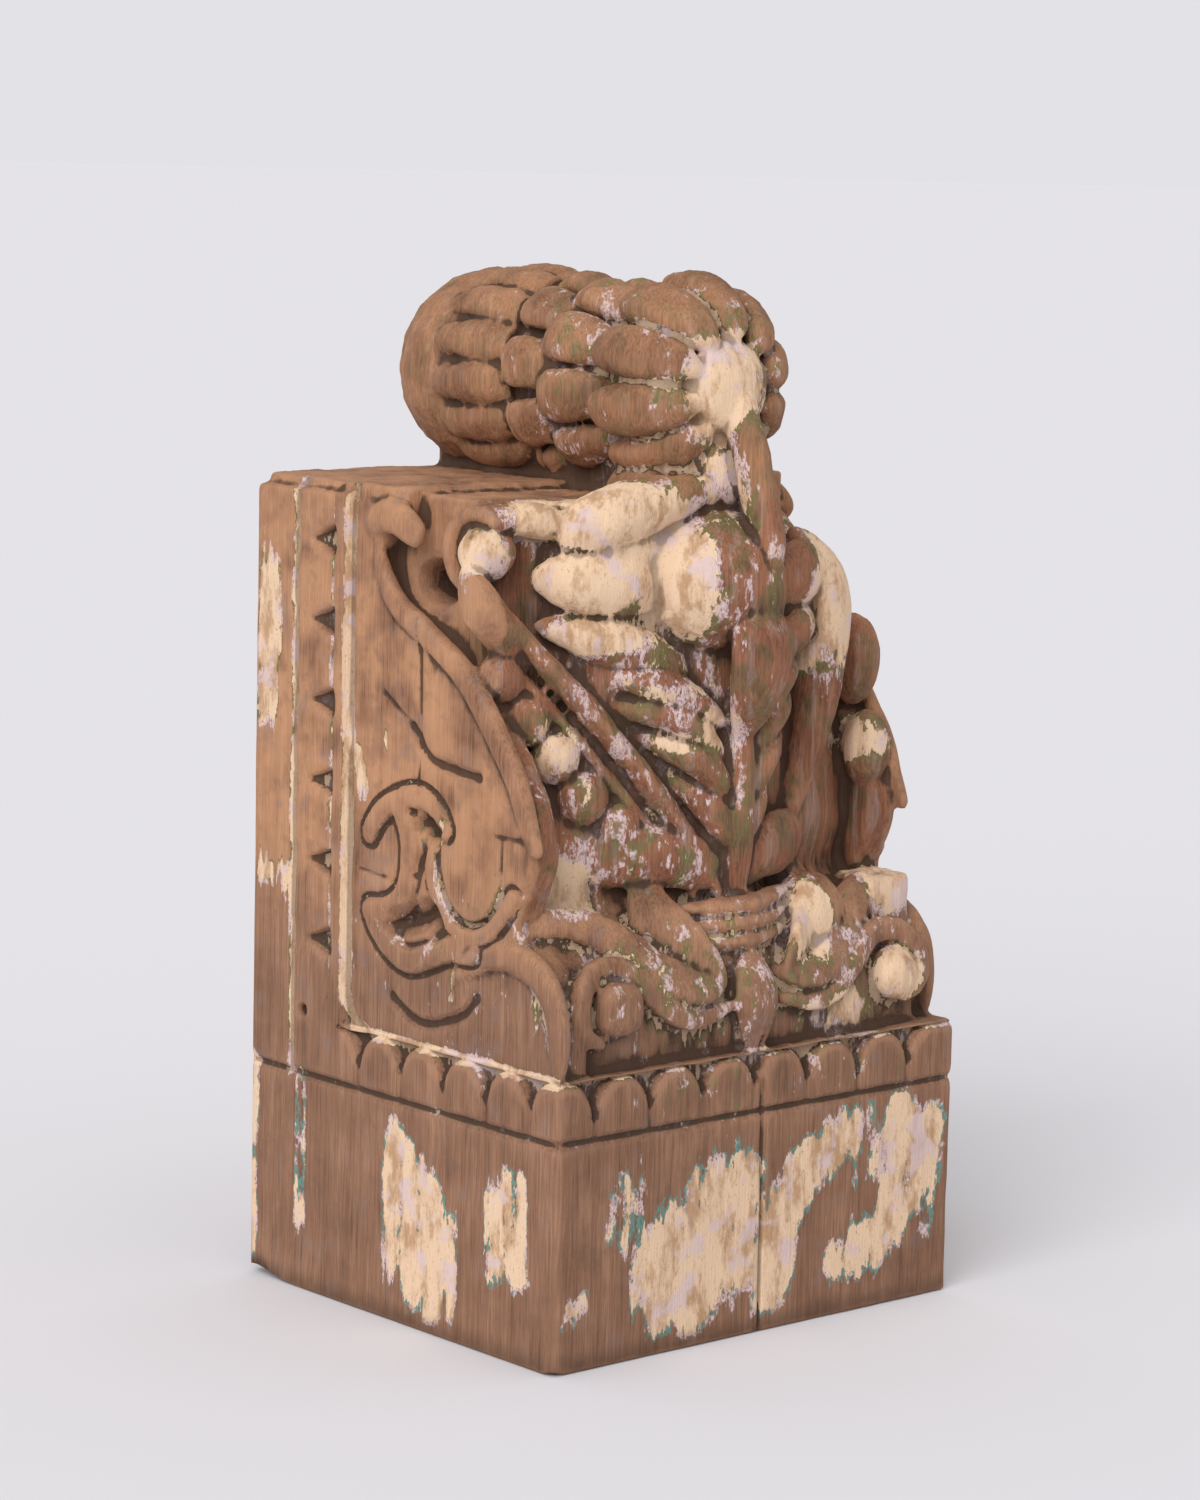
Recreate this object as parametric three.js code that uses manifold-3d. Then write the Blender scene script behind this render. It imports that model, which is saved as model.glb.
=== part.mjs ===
// A carved timber corbel that stands on its plain end block. One piece of wood: a plinth with a band of
// scallops, side panels with C-scrolls, a tall leaf tied at the foot, and a lotus bud lying along the top.
// Millimetres. X runs across the front, +Y points to the wall behind, +Z up, origin under the plinth's middle.
import * as THREE from "three";
import Module from "manifold-3d";
import { ConvexGeometry } from "three/addons/geometries/ConvexGeometry.js";
import { ParametricGeometry } from "three/addons/geometries/ParametricGeometry.js";
import { mergeVertices } from "three/addons/utils/BufferGeometryUtils.js";

const wasm = await Module();
wasm.setup();

// Driving dimensions
const blockWidth = 143;
const blockDepth = 130;
const plinthHeight = 60;
const borderHeight = 16;
const blockTop = 218;
const crownRise = 4;
const budAxisHeight = 248;
const budRadius = 28.5;

// Sizes that follow from them, and the depths of the carving
const halfWidth = blockWidth / 2;
const wallY = blockDepth / 2;
const frontY = -wallY;
const borderTop = plinthHeight + borderHeight;
const edgeChamfer = 2.5;
const panelSink = 2;
const panelThick = 11;
const panelX = halfWidth - panelSink;
const marginY = wallY - 18;
const filletY = wallY - 34;
const panelBackY = wallY - 40;
const grooveWidth = 2.4;
const grooveDepth = 1.6;
const notchWidth = 9;
const notchDepth = 3;
const overshoot = 1;

// The leaf stands on two facets that lean back from the corbel's middle to its sides
const facetFootY = -54;
const facetRun = new THREE.Vector2(62, 24.5).normalize();

const v3 = (x, y, z) => new THREE.Vector3(x, y, z);

// A point on a leaf facet: s runs out from the middle, lift stands proud of the facet
function onFacet(side, s, z, lift = 0) {
  const x = facetRun.x * s + facetRun.y * lift;
  const y = facetFootY + facetRun.y * s - facetRun.x * lift;
  return v3(side * x, y, z);
}
const facetNormal = (side) => v3(side * facetRun.y, -facetRun.x, 0);
const panelNormal = (side) => v3(side, 0, 0);
const frontNormal = v3(0, -1, 0);

// A closed geometry as a solid that can be joined and cut
function solid(geometry) {
  const bare = geometry.clone();
  bare.deleteAttribute("normal");
  bare.deleteAttribute("uv");
  const merged = mergeVertices(bare, 1e-4);
  const index = merged.index.array;
  const kept = [];
  for (let i = 0; i < index.length; i += 3) {
    const [a, b, c] = index.slice(i, i + 3);
    if (a !== b && b !== c && c !== a) kept.push(a, b, c);
  }
  const vertProperties = merged.attributes.position.array;
  const build = (corners) =>
    new wasm.Manifold(new wasm.Mesh({ numProp: 3, vertProperties, triVerts: new Uint32Array(corners) }));
  const made = build(kept);
  return made.volume() > 0 ? made : build(kept.reverse());
}

const joined = (solids) => solids.reduce((sum, next) => sum.add(next));
const hull = (points) => solid(new ConvexGeometry(points));

// How a carved form swells along its length: a leaf comes to a point, a stem keeps its width, a petal is blunt
const leafSwell = (t) => Math.sin(Math.PI * (0.16 + 0.84 * t)) ** 0.75 * Math.min(1, t * 9) ** 0.5;
const stemSwell = (t) => (1 - (2 * t - 1) ** 8) ** 0.5;
const petalSwell = (t) => (1 - Math.max(0, 1.9 * t - 0.9) ** 2) ** 0.5 * Math.min(1, t * 4) ** 0.5;

// An oval section carried along a curve: its width lies flat on the ground, its thickness stands up from it
function carved(points, up, { width, thick, swell = leafSwell, along = 5, around = 5 }) {
  const curve = new THREE.CatmullRomCurve3(points);
  const surface = (u, t, target) => {
    const tangent = curve.getTangent(t);
    const across = v3(0, 0, 0).crossVectors(tangent, up).normalize();
    const out = v3(0, 0, 0).crossVectors(across, tangent).normalize();
    const size = t <= 0 || t >= 1 ? 0 : swell(t);
    const angle = 2 * Math.PI * (u + 0.25);
    target.copy(curve.getPoint(t));
    target.addScaledVector(across, width * size * Math.cos(angle));
    target.addScaledVector(out, thick * size * Math.sin(angle));
  };
  return solid(new ParametricGeometry(surface, around, along));
}

// A ball or an egg
function egg(centre, rx, ry, rz, across = 8, up = 6) {
  const ball = new THREE.SphereGeometry(1, across, up).scale(rx, ry, rz);
  return solid(ball.translate(centre.x, centre.y, centre.z));
}

function box(x0, x1, y0, y1, z0, z1) {
  const block = new THREE.BoxGeometry(x1 - x0, y1 - y0, z1 - z0);
  return solid(block.translate((x0 + x1) / 2, (y0 + y1) / 2, (z0 + z1) / 2));
}

// An upright prism on a plan outline
function upright(outline, z0, z1) {
  const prism = new THREE.ExtrudeGeometry(new THREE.Shape(outline), { depth: z1 - z0, bevelEnabled: false });
  return solid(prism.translate(0, 0, z0));
}

// A prism that lies across the corbel on a side outline given as (y, z)
function lying(outline, half) {
  const prism = new THREE.ExtrudeGeometry(new THREE.Shape(outline), { depth: 2 * half, bevelEnabled: false });
  prism.translate(0, 0, -half);
  prism.applyMatrix4(new THREE.Matrix4().makeBasis(v3(0, 1, 0), v3(0, 0, 1), v3(1, 0, 0)));
  return solid(prism);
}

// The squared timber: the plinth and, behind, the strip that stands against the wall
function timber() {
  const cut = edgeChamfer;
  const plan = [
    new THREE.Vector2(-halfWidth, frontY + cut),
    new THREE.Vector2(-halfWidth + cut, frontY),
    new THREE.Vector2(halfWidth - cut, frontY),
    new THREE.Vector2(halfWidth, frontY + cut),
    new THREE.Vector2(halfWidth, wallY),
    new THREE.Vector2(-halfWidth, wallY),
  ];
  const plinth = upright(plan, 0, borderTop);
  const strip = box(-halfWidth, halfWidth, panelBackY, wallY, borderTop - 2, blockTop);
  const crownHalf = halfWidth - 26;
  const crown = [20, wallY].flatMap((y) => [
    v3(-halfWidth + 4, y, blockTop - 1),
    v3(halfWidth - 4, y, blockTop - 1),
    v3(-crownHalf, y, blockTop + crownRise),
    v3(crownHalf, y, blockTop + crownRise),
  ]);
  return plinth.add(strip).add(hull(crown));
}

// A side panel as a slab, with the lobed front edge that the scrolls follow. The right one is cut further back
const rightSetBack = 8;
const setBack = (side) => (side > 0 ? rightSetBack : 0);

function panel(side) {
  const back = panelBackY + 4 - setBack(side);
  const edge = [
    [back, blockTop],
    [back, borderTop - 4],
    [frontY + 3, borderTop - 4],
    [frontY + 3, borderTop + 10],
    [-56, 101],
    [-46, 109],
    [-45, 116],
    [-50, 130],
    [-46, 145],
    [-37, 158],
    [-24, 172],
    [-6, 184],
    [8, 192],
    [13, 202],
    [4, blockTop],
  ];
  const outline = edge.map(([y, z]) => new THREE.Vector2(y + setBack(side), z));
  const slab = lying(outline, panelX);
  const inner = panelX - panelThick;
  const [x0, x1] = side > 0 ? [inner, halfWidth] : [-halfWidth, -inner];
  return slab.intersect(box(x0, x1, frontY, wallY, 0, blockTop));
}

// The ground that the leaf is carved on: how far forward it stands at the middle, then halfway out and at the
// side, to the left and to the right
function leafGround() {
  const rows = [
    { z: 68, middle: -58, left: [-58, -58], right: [-58, -58] },
    { z: 90, middle: -57, left: [-57, -57], right: [-57, -55] },
    { z: 101, middle: -54, left: [-53, -52], right: [-53, -48] },
    { z: 109, middle: -50, left: [-46, -45], right: [-46, -42] },
    { z: 116, middle: -48, left: [-38, -36], right: [-38, -30] },
    { z: 130, middle: -49, left: [-41, -38], right: [-40, -31] },
    { z: 152, middle: -48, left: [-38, -32], right: [-38, -28] },
    { z: 182, middle: -46, left: [-36, -19], right: [-36, -18] },
    { z: 206, middle: -44, left: [-37, -17], right: [-35, 2] },
    { z: blockTop + 2, middle: -41, left: [-34, -16], right: [-18, 16] },
  ];
  const halfwayX = 34;
  const sideX = 62;
  const backY = 34;
  const rings = rows.map(({ z, middle, left, right }) => [
    v3(0, middle, z),
    v3(halfwayX, right[0], z),
    v3(sideX, right[1], z),
    v3(sideX, backY, z),
    v3(-sideX, backY, z),
    v3(-sideX, left[1], z),
    v3(-halfwayX, left[0], z),
  ]);
  const sides = rings[0].length;
  const top = rings.length - 1;
  const surface = (u, t, target) => {
    const level = Math.round(t * (top + 2)) - 1;
    if (level < 0) target.set(0, 0, rows[0].z);
    else if (level > top) target.set(0, 0, rows[top].z);
    else target.copy(rings[level][Math.round(u * sides) % sides]);
  };
  return solid(new ParametricGeometry(surface, sides, top + 2));
}

// Half of the tall leaf: lobes that spring from the midrib, each from root over bend to tip as (s, z, lift).
// The left half ends in a shoulder lobe; the right half is shorter, behind its roll
function leafHalf(side) {
  const reach = side > 0 ? 0.72 : 1;
  const shoulder = { root: [6, 221, -4], bend: [34, 221, -1], tip: [57, 206, -2], width: 8, thick: 7 };
  const upper = [
    { root: [14, 186, -2], bend: [37 * reach, 197, 2], tip: [60 * reach, 199, -1], width: 9, thick: 6 },
    { root: [7, 168, -1], bend: [28 * reach, 181, 2], tip: [57 * reach, 187, -2], width: 5.8, thick: 6 },
  ];
  const lower = [
    { root: [4, 159, -2], bend: [23, 170, 1], tip: [44, 174, -4], width: 4, thick: 5 },
    { root: [4, 150, -3], bend: [19, 162, 0], tip: [38, 166, -4], width: 4.2, thick: 5 },
    { root: [3, 139, -3], bend: [13, 151, 0], tip: [28, 158, -4], width: 5, thick: 5 },
    { root: [2, 125, -4], bend: [8, 138, -1], tip: [19, 147, -4], width: 4.6, thick: 5 },
    { root: [3, 119, -3], bend: [22, 127, 1], tip: [49, 123, -3], width: 7, thick: 8 },
  ];
  const lobes = side > 0 ? [...upper, ...lower] : [shoulder, ...upper, ...lower];
  return lobes.map(({ root, bend, tip, width, thick }) => {
    const spine = [root, bend, tip].map((point) => onFacet(side, ...point));
    return carved(spine, facetNormal(side), { width, thick });
  });
}

// What the two halves share: the midrib, the leaf's curled-over tip and the cheeks behind it
function leafMiddle() {
  const midrib = [v3(0, -49, 108), v3(0, -52, 135), v3(0, -51, 168)];
  const curledTip = [v3(0, -50, 198), v3(0, -56, 182), v3(0, -51, 156)];
  return [
    carved(midrib, frontNormal, { width: 5, thick: 5, swell: stemSwell }),
    carved(curledTip, frontNormal, { width: 11, thick: 6.5, around: 6 }),
    egg(v3(0, -38, 197), 22.5, 21.5, 20, 10, 8),
    egg(v3(-6, -30, 221), 18, 18, 9, 10, 5),
  ];
}

// On the left a stem runs from the tie up to the volute, with a bulged leaf and a row of beads on its outer side
function leftStem() {
  const stem = [[4, 115, -3], [20, 137, -1], [40, 161, 0], [60, 182, 0], [73, 196, -1]];
  const bulge = [[87, 203, -1], [76, 191, 0], [60, 178, -2]];
  const beads = [
    { s: 67, z: 174.5, radius: 6.2 },
    { s: 60, z: 163.5, radius: 6.2 },
    { s: 52, z: 154, radius: 6.6 },
    { s: 45, z: 143.5, radius: 7.6 },
    { s: 34, z: 136, radius: 6 },
  ];
  const beadLift = -1.5;
  const place = (points) => points.map((point) => onFacet(-1, ...point));
  return [
    carved(place(stem), facetNormal(-1), { width: 3.8, thick: 5, swell: stemSwell, along: 8 }),
    carved(place(bulge), facetNormal(-1), { width: 6, thick: 6 }),
    ...beads.map(({ s, z, radius }) => egg(onFacet(-1, s, z, beadLift), radius, radius, radius * 1.1, 7, 5)),
  ];
}

// On the right the stem swells to a thick roll that ends under the bud, with two leaflets on its outer side
function rightRoll() {
  const roll = [[8, 116, -3], [24, 126, -2], [33, 140, -1], [40, 160, 0], [44, 180, 0], [41, 196, 0], [32, 209, -3]];
  const club = (t) => (0.42 + 0.58 * THREE.MathUtils.smoothstep(t, 0.3, 0.75)) * stemSwell(t);
  const spine = roll.map((point) => onFacet(1, ...point));
  return [
    carved(spine, facetNormal(1), { width: 8.5, thick: 8.5, swell: club, along: 7, around: 6 }),
    egg(v3(61, -31, 172), 7, 8, 13, 8, 6),
    egg(v3(62, -36, 148), 7, 7, 11, 8, 6),
  ];
}

// The volute at the head of the left side: an eye wrapped by a curl, and a short stalk back to the leaf
function topVolute() {
  const eyeRadius = 8;
  const eye = v3(eyeRadius - halfWidth, -23.5, 206);
  const curlRadius = eyeRadius + 3;
  const curlSteps = 5;
  const curl = [];
  for (let i = 0; i <= curlSteps; i++) {
    const angle = THREE.MathUtils.degToRad(-105 + (225 * i) / curlSteps);
    curl.push(v3(eye.x, eye.y + curlRadius * Math.cos(angle), eye.z + curlRadius * Math.sin(angle)));
  }
  const stalk = [v3(-60, -23, 215), v3(-50, -29, 214.5), v3(-36, -36, 214)];
  return [
    egg(eye, eyeRadius, eyeRadius, eyeRadius + 1, 9, 7),
    carved(curl, panelNormal(-1), { width: 2.8, thick: 6, swell: stemSwell, along: 8 }),
    carved(stalk, frontNormal, { width: 4, thick: 5, swell: stemSwell, along: 4 }),
  ];
}

// The scrolls of a side panel, each along the middle of its raised band as (y, z)
function panelScrolls(side) {
  const bands = [
    { width: 3.6, along: 8, path: [[12, 204], [11, 196], [3, 189], [-24, 173], [-44, 148], [-53, 127]] },
    { width: 3, along: 5, path: [[15, 130], [9, 136], [0, 140], [-9, 139], [-15, 133]] },
    { width: 3.2, along: 5, path: [[-1, 136], [-4, 127], [-4, 119], [0, 112], [8, 108.5], [15, 108]] },
    { width: 3.6, along: 7, path: [[14, 109], [11, 102], [3, 97.5], [-7, 99], [-16, 103], [-24, 101.5]] },
    { width: 3, along: 6, path: [[-10, 124], [-13, 116], [-20, 109], [-28, 107.5], [-37, 111], [-43, 119]] },
    { width: 4, along: 7, path: [[-22, 98], [-31, 103], [-42, 104], [-53, 100], [-60, 92], [-62, 75]] },
    { width: 5, along: 5, path: [[19, 211], [8, 213], [-3, 208]] },
  ];
  const bandThick = panelSink + 1;
  return bands.map(({ width, along, path }) => {
    const spine = path.map(([y, z]) => v3(side * (panelX - 1), y + setBack(side), z));
    return carved(spine, panelNormal(side), { width, thick: bandThick, swell: stemSwell, along });
  });
}

// The eyes of the side scrolls, cut deep into the panel
function panelHollows(side) {
  const hollows = [
    { y: -1, z: 197, high: 5.5, long: 9, deep: 11 },
    { y: -8, z: 133, high: 3.2, long: 4, deep: 6 },
    { y: -4, z: 104.5, high: 3, long: 8, deep: 6 },
  ];
  return hollows.map(({ y, z, high, long, deep }) => egg(v3(side * (panelX + 1), y + setBack(side), z), deep, long, high, 6, 4));
}

// The foot of the leaf: three turns of a tie, a drop below it and a volute to each side
function foot() {
  const tieHeights = [105, 109.5, 114];
  const ties = tieHeights.map((z) => {
    const turn = [v3(-19, -50, z), v3(0, -57, z + 0.5), v3(19, -50, z)];
    return carved(turn, frontNormal, { width: 2.7, thick: 4, swell: stemSwell, along: 4 });
  });
  const dropSpine = [v3(0, -58, 103), v3(-1, -61, 88), v3(-1, -61, 74)];
  const drop = carved(dropSpine, frontNormal, { width: 8, thick: 4, along: 7 });
  return [...ties, drop, ...footVolute(-1), ...footVolute(1)];
}

// A foot volute: the outer horn and the inner curl, as (x, y, z) along their middles
function footVolute(side) {
  const horn = [[10, -59, 94], [22, -59, 93], [32, -56, 99], [41, -50, 107], [53, -45, 112], [66, -42, 111]];
  const curl = [[8, -60, 89], [20, -60, 86], [29, -60, 88], [38, -57, 96], [46, -54, 102], [54, -54, 102]];
  const curlEnd = [[60, -57, 96], [60, -60, 87], [52, -60, 82]];
  const band = (path, width, along) => {
    const spine = path.map(([x, y, z]) => v3(side * x, y, z));
    return carved(spine, frontNormal, { width, thick: 4, swell: stemSwell, along });
  };
  return [band(horn, 4.8, 8), band([...curl, ...curlEnd], 2.7, 10)];
}

// The eyes of the foot volutes were never alike: a flat button on the left, a ball and a bulb on the right
function footEyes() {
  const button = new THREE.CylinderGeometry(7, 7, 9, 14).translate(-48, frontY + 5.5, 92);
  return [solid(button), egg(v3(52, -57, 90), 8, 7, 8), egg(v3(27, -50, 107), 12, 9, 12)];
}

// The lotus bud: a turned core along the depth, four rings of petals and a plain end flush with the wall face
function bud() {
  const core = [
    [0, -50],
    [9, -46],
    [15, -38],
    [21, -22],
    [23, -5],
    [23, 12],
    [23.5, 20],
    [26.5, 32],
    [budRadius, 48],
    [budRadius - 1, 60],
    [budRadius - 4, wallY],
    [0, wallY],
  ];
  const lathe = new THREE.LatheGeometry(core.map(([r, y]) => new THREE.Vector2(r, y)), 14);
  const rings = [
    { count: 10, turn: 0, root: [8, -47], bend: [19.5, -34], tip: [25, -16], width: 8.2, thick: 4 },
    { count: 10, turn: 0.5, root: [20, -24], bend: [24.5, -12], tip: [24.5, 4], width: 7.6, thick: 3.5 },
    { count: 10, turn: 0, root: [21, -6], bend: [24.5, 4], tip: [24, 15], width: 7.6, thick: 2.8 },
    { count: 12, turn: 0, root: [21, 14], bend: [25.5, 26], tip: [28.5, 50], width: 7, thick: 2.6 },
  ];
  const hiddenBelow = -0.72;
  const petals = [];
  rings.forEach(({ count, turn, root, bend, tip, width, thick }) => {
    for (let i = 0; i < count; i++) {
      const angle = (2 * Math.PI * (i + turn)) / count;
      const out = v3(Math.sin(angle), 0, Math.cos(angle));
      if (out.z < hiddenBelow) continue;
      const spine = [root, bend, tip].map(([r, y]) => v3(out.x * r, y, budAxisHeight + out.z * r));
      petals.push(carved(spine, out, { width, thick, swell: petalSwell, along: 4 }));
    }
  });
  const neck = [v3(0, -46, 206), v3(0, -51, 220), v3(0, -50, 235), v3(0, -43, 246), v3(0, -28, 249)];
  const keel = box(-19, 19, -34, wallY, blockTop - 6, budAxisHeight - 18);
  return [
    solid(lathe.translate(0, 0, budAxisHeight)),
    ...petals,
    carved(neck, frontNormal, { width: 6, thick: 6, swell: stemSwell, along: 6, around: 6 }),
    egg(v3(-1, -36, 226), 13, 14, 14, 8, 6),
    keel,
  ];
}

// A V-groove between two points of a face, given as (along, up), and a notch that points away from the panel
function groove(place, from, to) {
  const flow = new THREE.Vector2(to[0] - from[0], to[1] - from[1]).normalize().multiplyScalar(grooveWidth / 2);
  const section = ([a, b]) => [
    place(a - flow.y, b + flow.x, overshoot),
    place(a + flow.y, b - flow.x, overshoot),
    place(a, b, -grooveDepth),
  ];
  return hull([...section(from), ...section(to)]);
}
function notch(place, mouth, point) {
  const flow = new THREE.Vector2(point[0] - mouth[0], point[1] - mouth[1]);
  const half = flow.clone().normalize().multiplyScalar(notchWidth / 2);
  return hull([
    place(mouth[0] - half.y, mouth[1] + half.x, overshoot),
    place(mouth[0] + half.y, mouth[1] - half.x, overshoot),
    place(point[0], point[1], overshoot / 4),
    place(mouth[0] + flow.x * 0.2, mouth[1] + flow.y * 0.2, -notchDepth),
  ]);
}

// The scalloped border: along the foot of the sides and the front, and up the back edge of each side panel
function borderCuts() {
  const low = plinthHeight;
  const high = borderTop - 0.5;
  const notchPoint = plinthHeight + 5.5;
  const frontStep = 18.6;
  const sideStep = 17.5;
  const upStep = 21.5;
  const span = (count, start, step) => Array.from({ length: count }, (_, i) => start + step * i);
  const front = (x, z, lift) => v3(x, frontY - lift, z);
  const cuts = [low, high].map((z) => groove(front, [-halfWidth - 1, z], [halfWidth + 1, z]));
  span(7, -58.1, frontStep).forEach((x) => cuts.push(notch(front, [x, high], [x, notchPoint])));
  [-1, 1].forEach((side) => {
    const face = (y, z, lift) => v3(side * (halfWidth + lift), y, z);
    cuts.push(groove(face, [frontY - 1, low], [marginY, low]));
    cuts.push(groove(face, [frontY - 1, high], [panelBackY, high]));
    cuts.push(groove(face, [marginY, low], [marginY, blockTop + 1]));
    cuts.push(groove(face, [panelBackY, high], [panelBackY, blockTop + 1]));
    span(5, -52.5, sideStep).forEach((y) => cuts.push(notch(face, [y, high], [y, notchPoint])));
    span(6, 97.5, upStep).forEach((z) => cuts.push(notch(face, [filletY, z], [filletY + 10, z])));
  });
  return cuts;
}

const raised = [timber(), leafGround(), ...leafMiddle(), ...leftStem(), ...rightRoll(), ...topVolute()];
[-1, 1].forEach((side) => {
  raised.push(panel(side), ...panelScrolls(side), ...leafHalf(side));
});
raised.push(...foot(), ...footEyes(), ...bud());
const cutAway = [...borderCuts(), ...panelHollows(-1), ...panelHollows(1)];
const outerBlock = box(-halfWidth, halfWidth, frontY, wallY, 0, budAxisHeight + 2 * budRadius);
const whole = joined(raised).subtract(joined(cutAway)).intersect(outerBlock);

// The joined solid as a mesh with flat facets
function toGeometry(body) {
  const mesh = body.getMesh();
  const geometry = new THREE.BufferGeometry();
  const positions = new Float32Array(mesh.numVert * 3);
  for (let i = 0; i < mesh.numVert; i++) {
    for (let k = 0; k < 3; k++) positions[3 * i + k] = mesh.vertProperties[i * mesh.numProp + k];
  }
  geometry.setAttribute("position", new THREE.BufferAttribute(positions, 3));
  geometry.setIndex(new THREE.BufferAttribute(new Uint32Array(mesh.triVerts), 1));
  geometry.computeVertexNormals();
  return geometry;
}

const carvedWood = new THREE.MeshStandardMaterial({ color: "#8a5f45", roughness: 0.75, metalness: 0 });
carvedWood.name = "carved_wood";
const corbel = new THREE.Mesh(toGeometry(whole), carvedWood);
corbel.name = "corbel";

const group = new THREE.Group();
group.name = "wooden_corbel";
group.add(corbel);

export default group;
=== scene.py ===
import bpy
import numpy as np
from mathutils import Matrix, Vector


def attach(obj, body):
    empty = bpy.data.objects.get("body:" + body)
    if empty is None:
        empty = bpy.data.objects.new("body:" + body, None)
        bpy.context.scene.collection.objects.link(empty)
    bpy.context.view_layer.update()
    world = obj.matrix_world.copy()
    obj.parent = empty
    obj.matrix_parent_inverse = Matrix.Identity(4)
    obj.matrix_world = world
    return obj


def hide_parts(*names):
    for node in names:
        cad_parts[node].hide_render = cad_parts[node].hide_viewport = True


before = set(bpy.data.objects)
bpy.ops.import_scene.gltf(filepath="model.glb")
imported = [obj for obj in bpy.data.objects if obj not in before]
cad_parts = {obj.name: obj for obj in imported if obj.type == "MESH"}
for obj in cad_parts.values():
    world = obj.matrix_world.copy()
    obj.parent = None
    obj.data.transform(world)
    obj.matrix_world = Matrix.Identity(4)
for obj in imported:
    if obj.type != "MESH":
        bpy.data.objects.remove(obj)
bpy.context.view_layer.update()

scene = bpy.context.scene
metre = 0.001                      # the carving is worked out in millimetres

# Camera at the photograph's view: left of the front and a little above it
view = {
    "eye": (-0.75336, -0.85635, 0.31055),
    "yaw": 0.7194, "pitch": -0.1420, "roll": 0.0222,
    "lens": 102.18, "sensor": 36.0,
}

def placeCamera(v):
    # Aim is yaw about the vertical, then pitch; roll turns right and up about the aim
    sy, cy, sp, cp = np.sin(v["yaw"]), np.cos(v["yaw"]), np.sin(v["pitch"]), np.cos(v["pitch"])
    aim = np.array([sy * cp, cy * cp, sp])
    side = np.array([cy, -sy, 0.0])
    top = np.cross(side, aim)
    cr, sr = np.cos(v["roll"]), np.sin(v["roll"])
    turned = np.eye(4)
    turned[:3, 0] = cr * side + sr * top
    turned[:3, 1] = cr * top - sr * side
    turned[:3, 2] = -aim
    turned[:3, 3] = v["eye"]
    lensData = bpy.data.cameras.new("photoCamera")
    lensData.lens = v["lens"]
    lensData.sensor_width = v["sensor"]
    lensData.sensor_fit = "AUTO"
    lensData.clip_end = 50
    eye = bpy.data.objects.new("photoCamera", lensData)
    eye.matrix_world = Matrix(turned.tolist())
    scene.collection.objects.link(eye)
    scene.camera = eye

placeCamera(view)
print("camera placed")

# Surfaces of two parameters
carving = []                       # closed shells waiting to be fused into one body

def shell(grid):
    # Rows of rings become quads that wrap round; the middle of each end ring closes it as a pole
    rows, around = grid.shape[:2]
    points = np.vstack([grid.reshape(-1, 3), grid[0].mean(0), grid[-1].mean(0)])
    r, a = np.meshgrid(np.arange(rows - 1), np.arange(around), indexing="ij")
    b = (a + 1) % around
    near, far = r * around, (r + 1) * around
    quads = np.stack([near + a, near + b, far + b, far + a], -1).reshape(-1, 4)
    ring = np.arange(around)
    after = (ring + 1) % around
    first, last = rows * around, rows * around + 1
    end = (rows - 1) * around
    startFan = np.stack([np.full(around, first), after, ring, ring], -1)
    endFan = np.stack([np.full(around, last), end + ring, end + after, end + after], -1)
    carving.append((points, np.vstack([quads, startFan, endFan])))

def smoothPath(points, count):
    # Catmull-Rom: a cubic through the points whose slope at each is half the chord between its neighbours
    p = np.asarray(points, float)
    spread = np.vstack([2 * p[0] - p[1], p, 2 * p[-1] - p[-2]])
    u = np.linspace(0, len(p) - 1, count)
    i = np.minimum(u.astype(int), len(p) - 2)
    f = (u - i)[:, None]
    a, b, c, d = spread[i], spread[i + 1], spread[i + 2], spread[i + 3]
    return 0.5 * (2 * b + (c - a) * f + (2 * a - 5 * b + 4 * c - d) * f ** 2 + (3 * b - a - 3 * c + d) * f ** 3)

def unit(v):
    # Each vector over its own length
    return v / np.maximum(np.linalg.norm(v, axis=-1, keepdims=True), 1e-9)

def swell(t, peak, full):
    # Sine of a warped length: zero at both ends, one at the peak, and the fuller the smaller the power
    warped = t ** (np.log(0.5) / np.log(peak))
    return np.sin(np.pi * warped) ** full

def sweep(points, width, thick, up, peak=0.5, full=0.6, power=2.0, along=40, around=26):
    # An oval |u|^power + |v|^power = 1 carried along a smooth path, its size following the swell
    path = smoothPath(points, along)
    run = unit(np.gradient(path, axis=0))
    across = unit(np.cross(run, np.asarray(up, float)))
    out = np.cross(across, run)
    size = swell(np.linspace(0, 1, along), peak, full)[:, None, None]
    turn = np.linspace(0, 2 * np.pi, around, endpoint=False)
    c, s = np.cos(turn), np.sin(turn)
    u = (np.sign(c) * np.abs(c) ** (2 / power))[None, :, None]
    v = (np.sign(s) * np.abs(s) ** (2 / power))[None, :, None]
    shell(path[:, None] + size * (width * u * across[:, None] + thick * v * out[:, None]))

def egg(centre, radii, power=2.0, along=22, around=30):
    # A sphere of latitude and longitude, stretched to three radii; a power over 2 squares it up
    lat = np.linspace(-np.pi / 2, np.pi / 2, along)[:, None]
    lon = np.linspace(0, 2 * np.pi, around, endpoint=False)[None, :]
    raw = np.stack([np.cos(lat) * np.cos(lon), np.cos(lat) * np.sin(lon), np.sin(lat) + 0 * lon], -1)
    shaped = np.sign(raw) * np.abs(raw) ** (2 / power)
    shell(np.asarray(centre, float) + shaped * np.asarray(radii, float))

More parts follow.
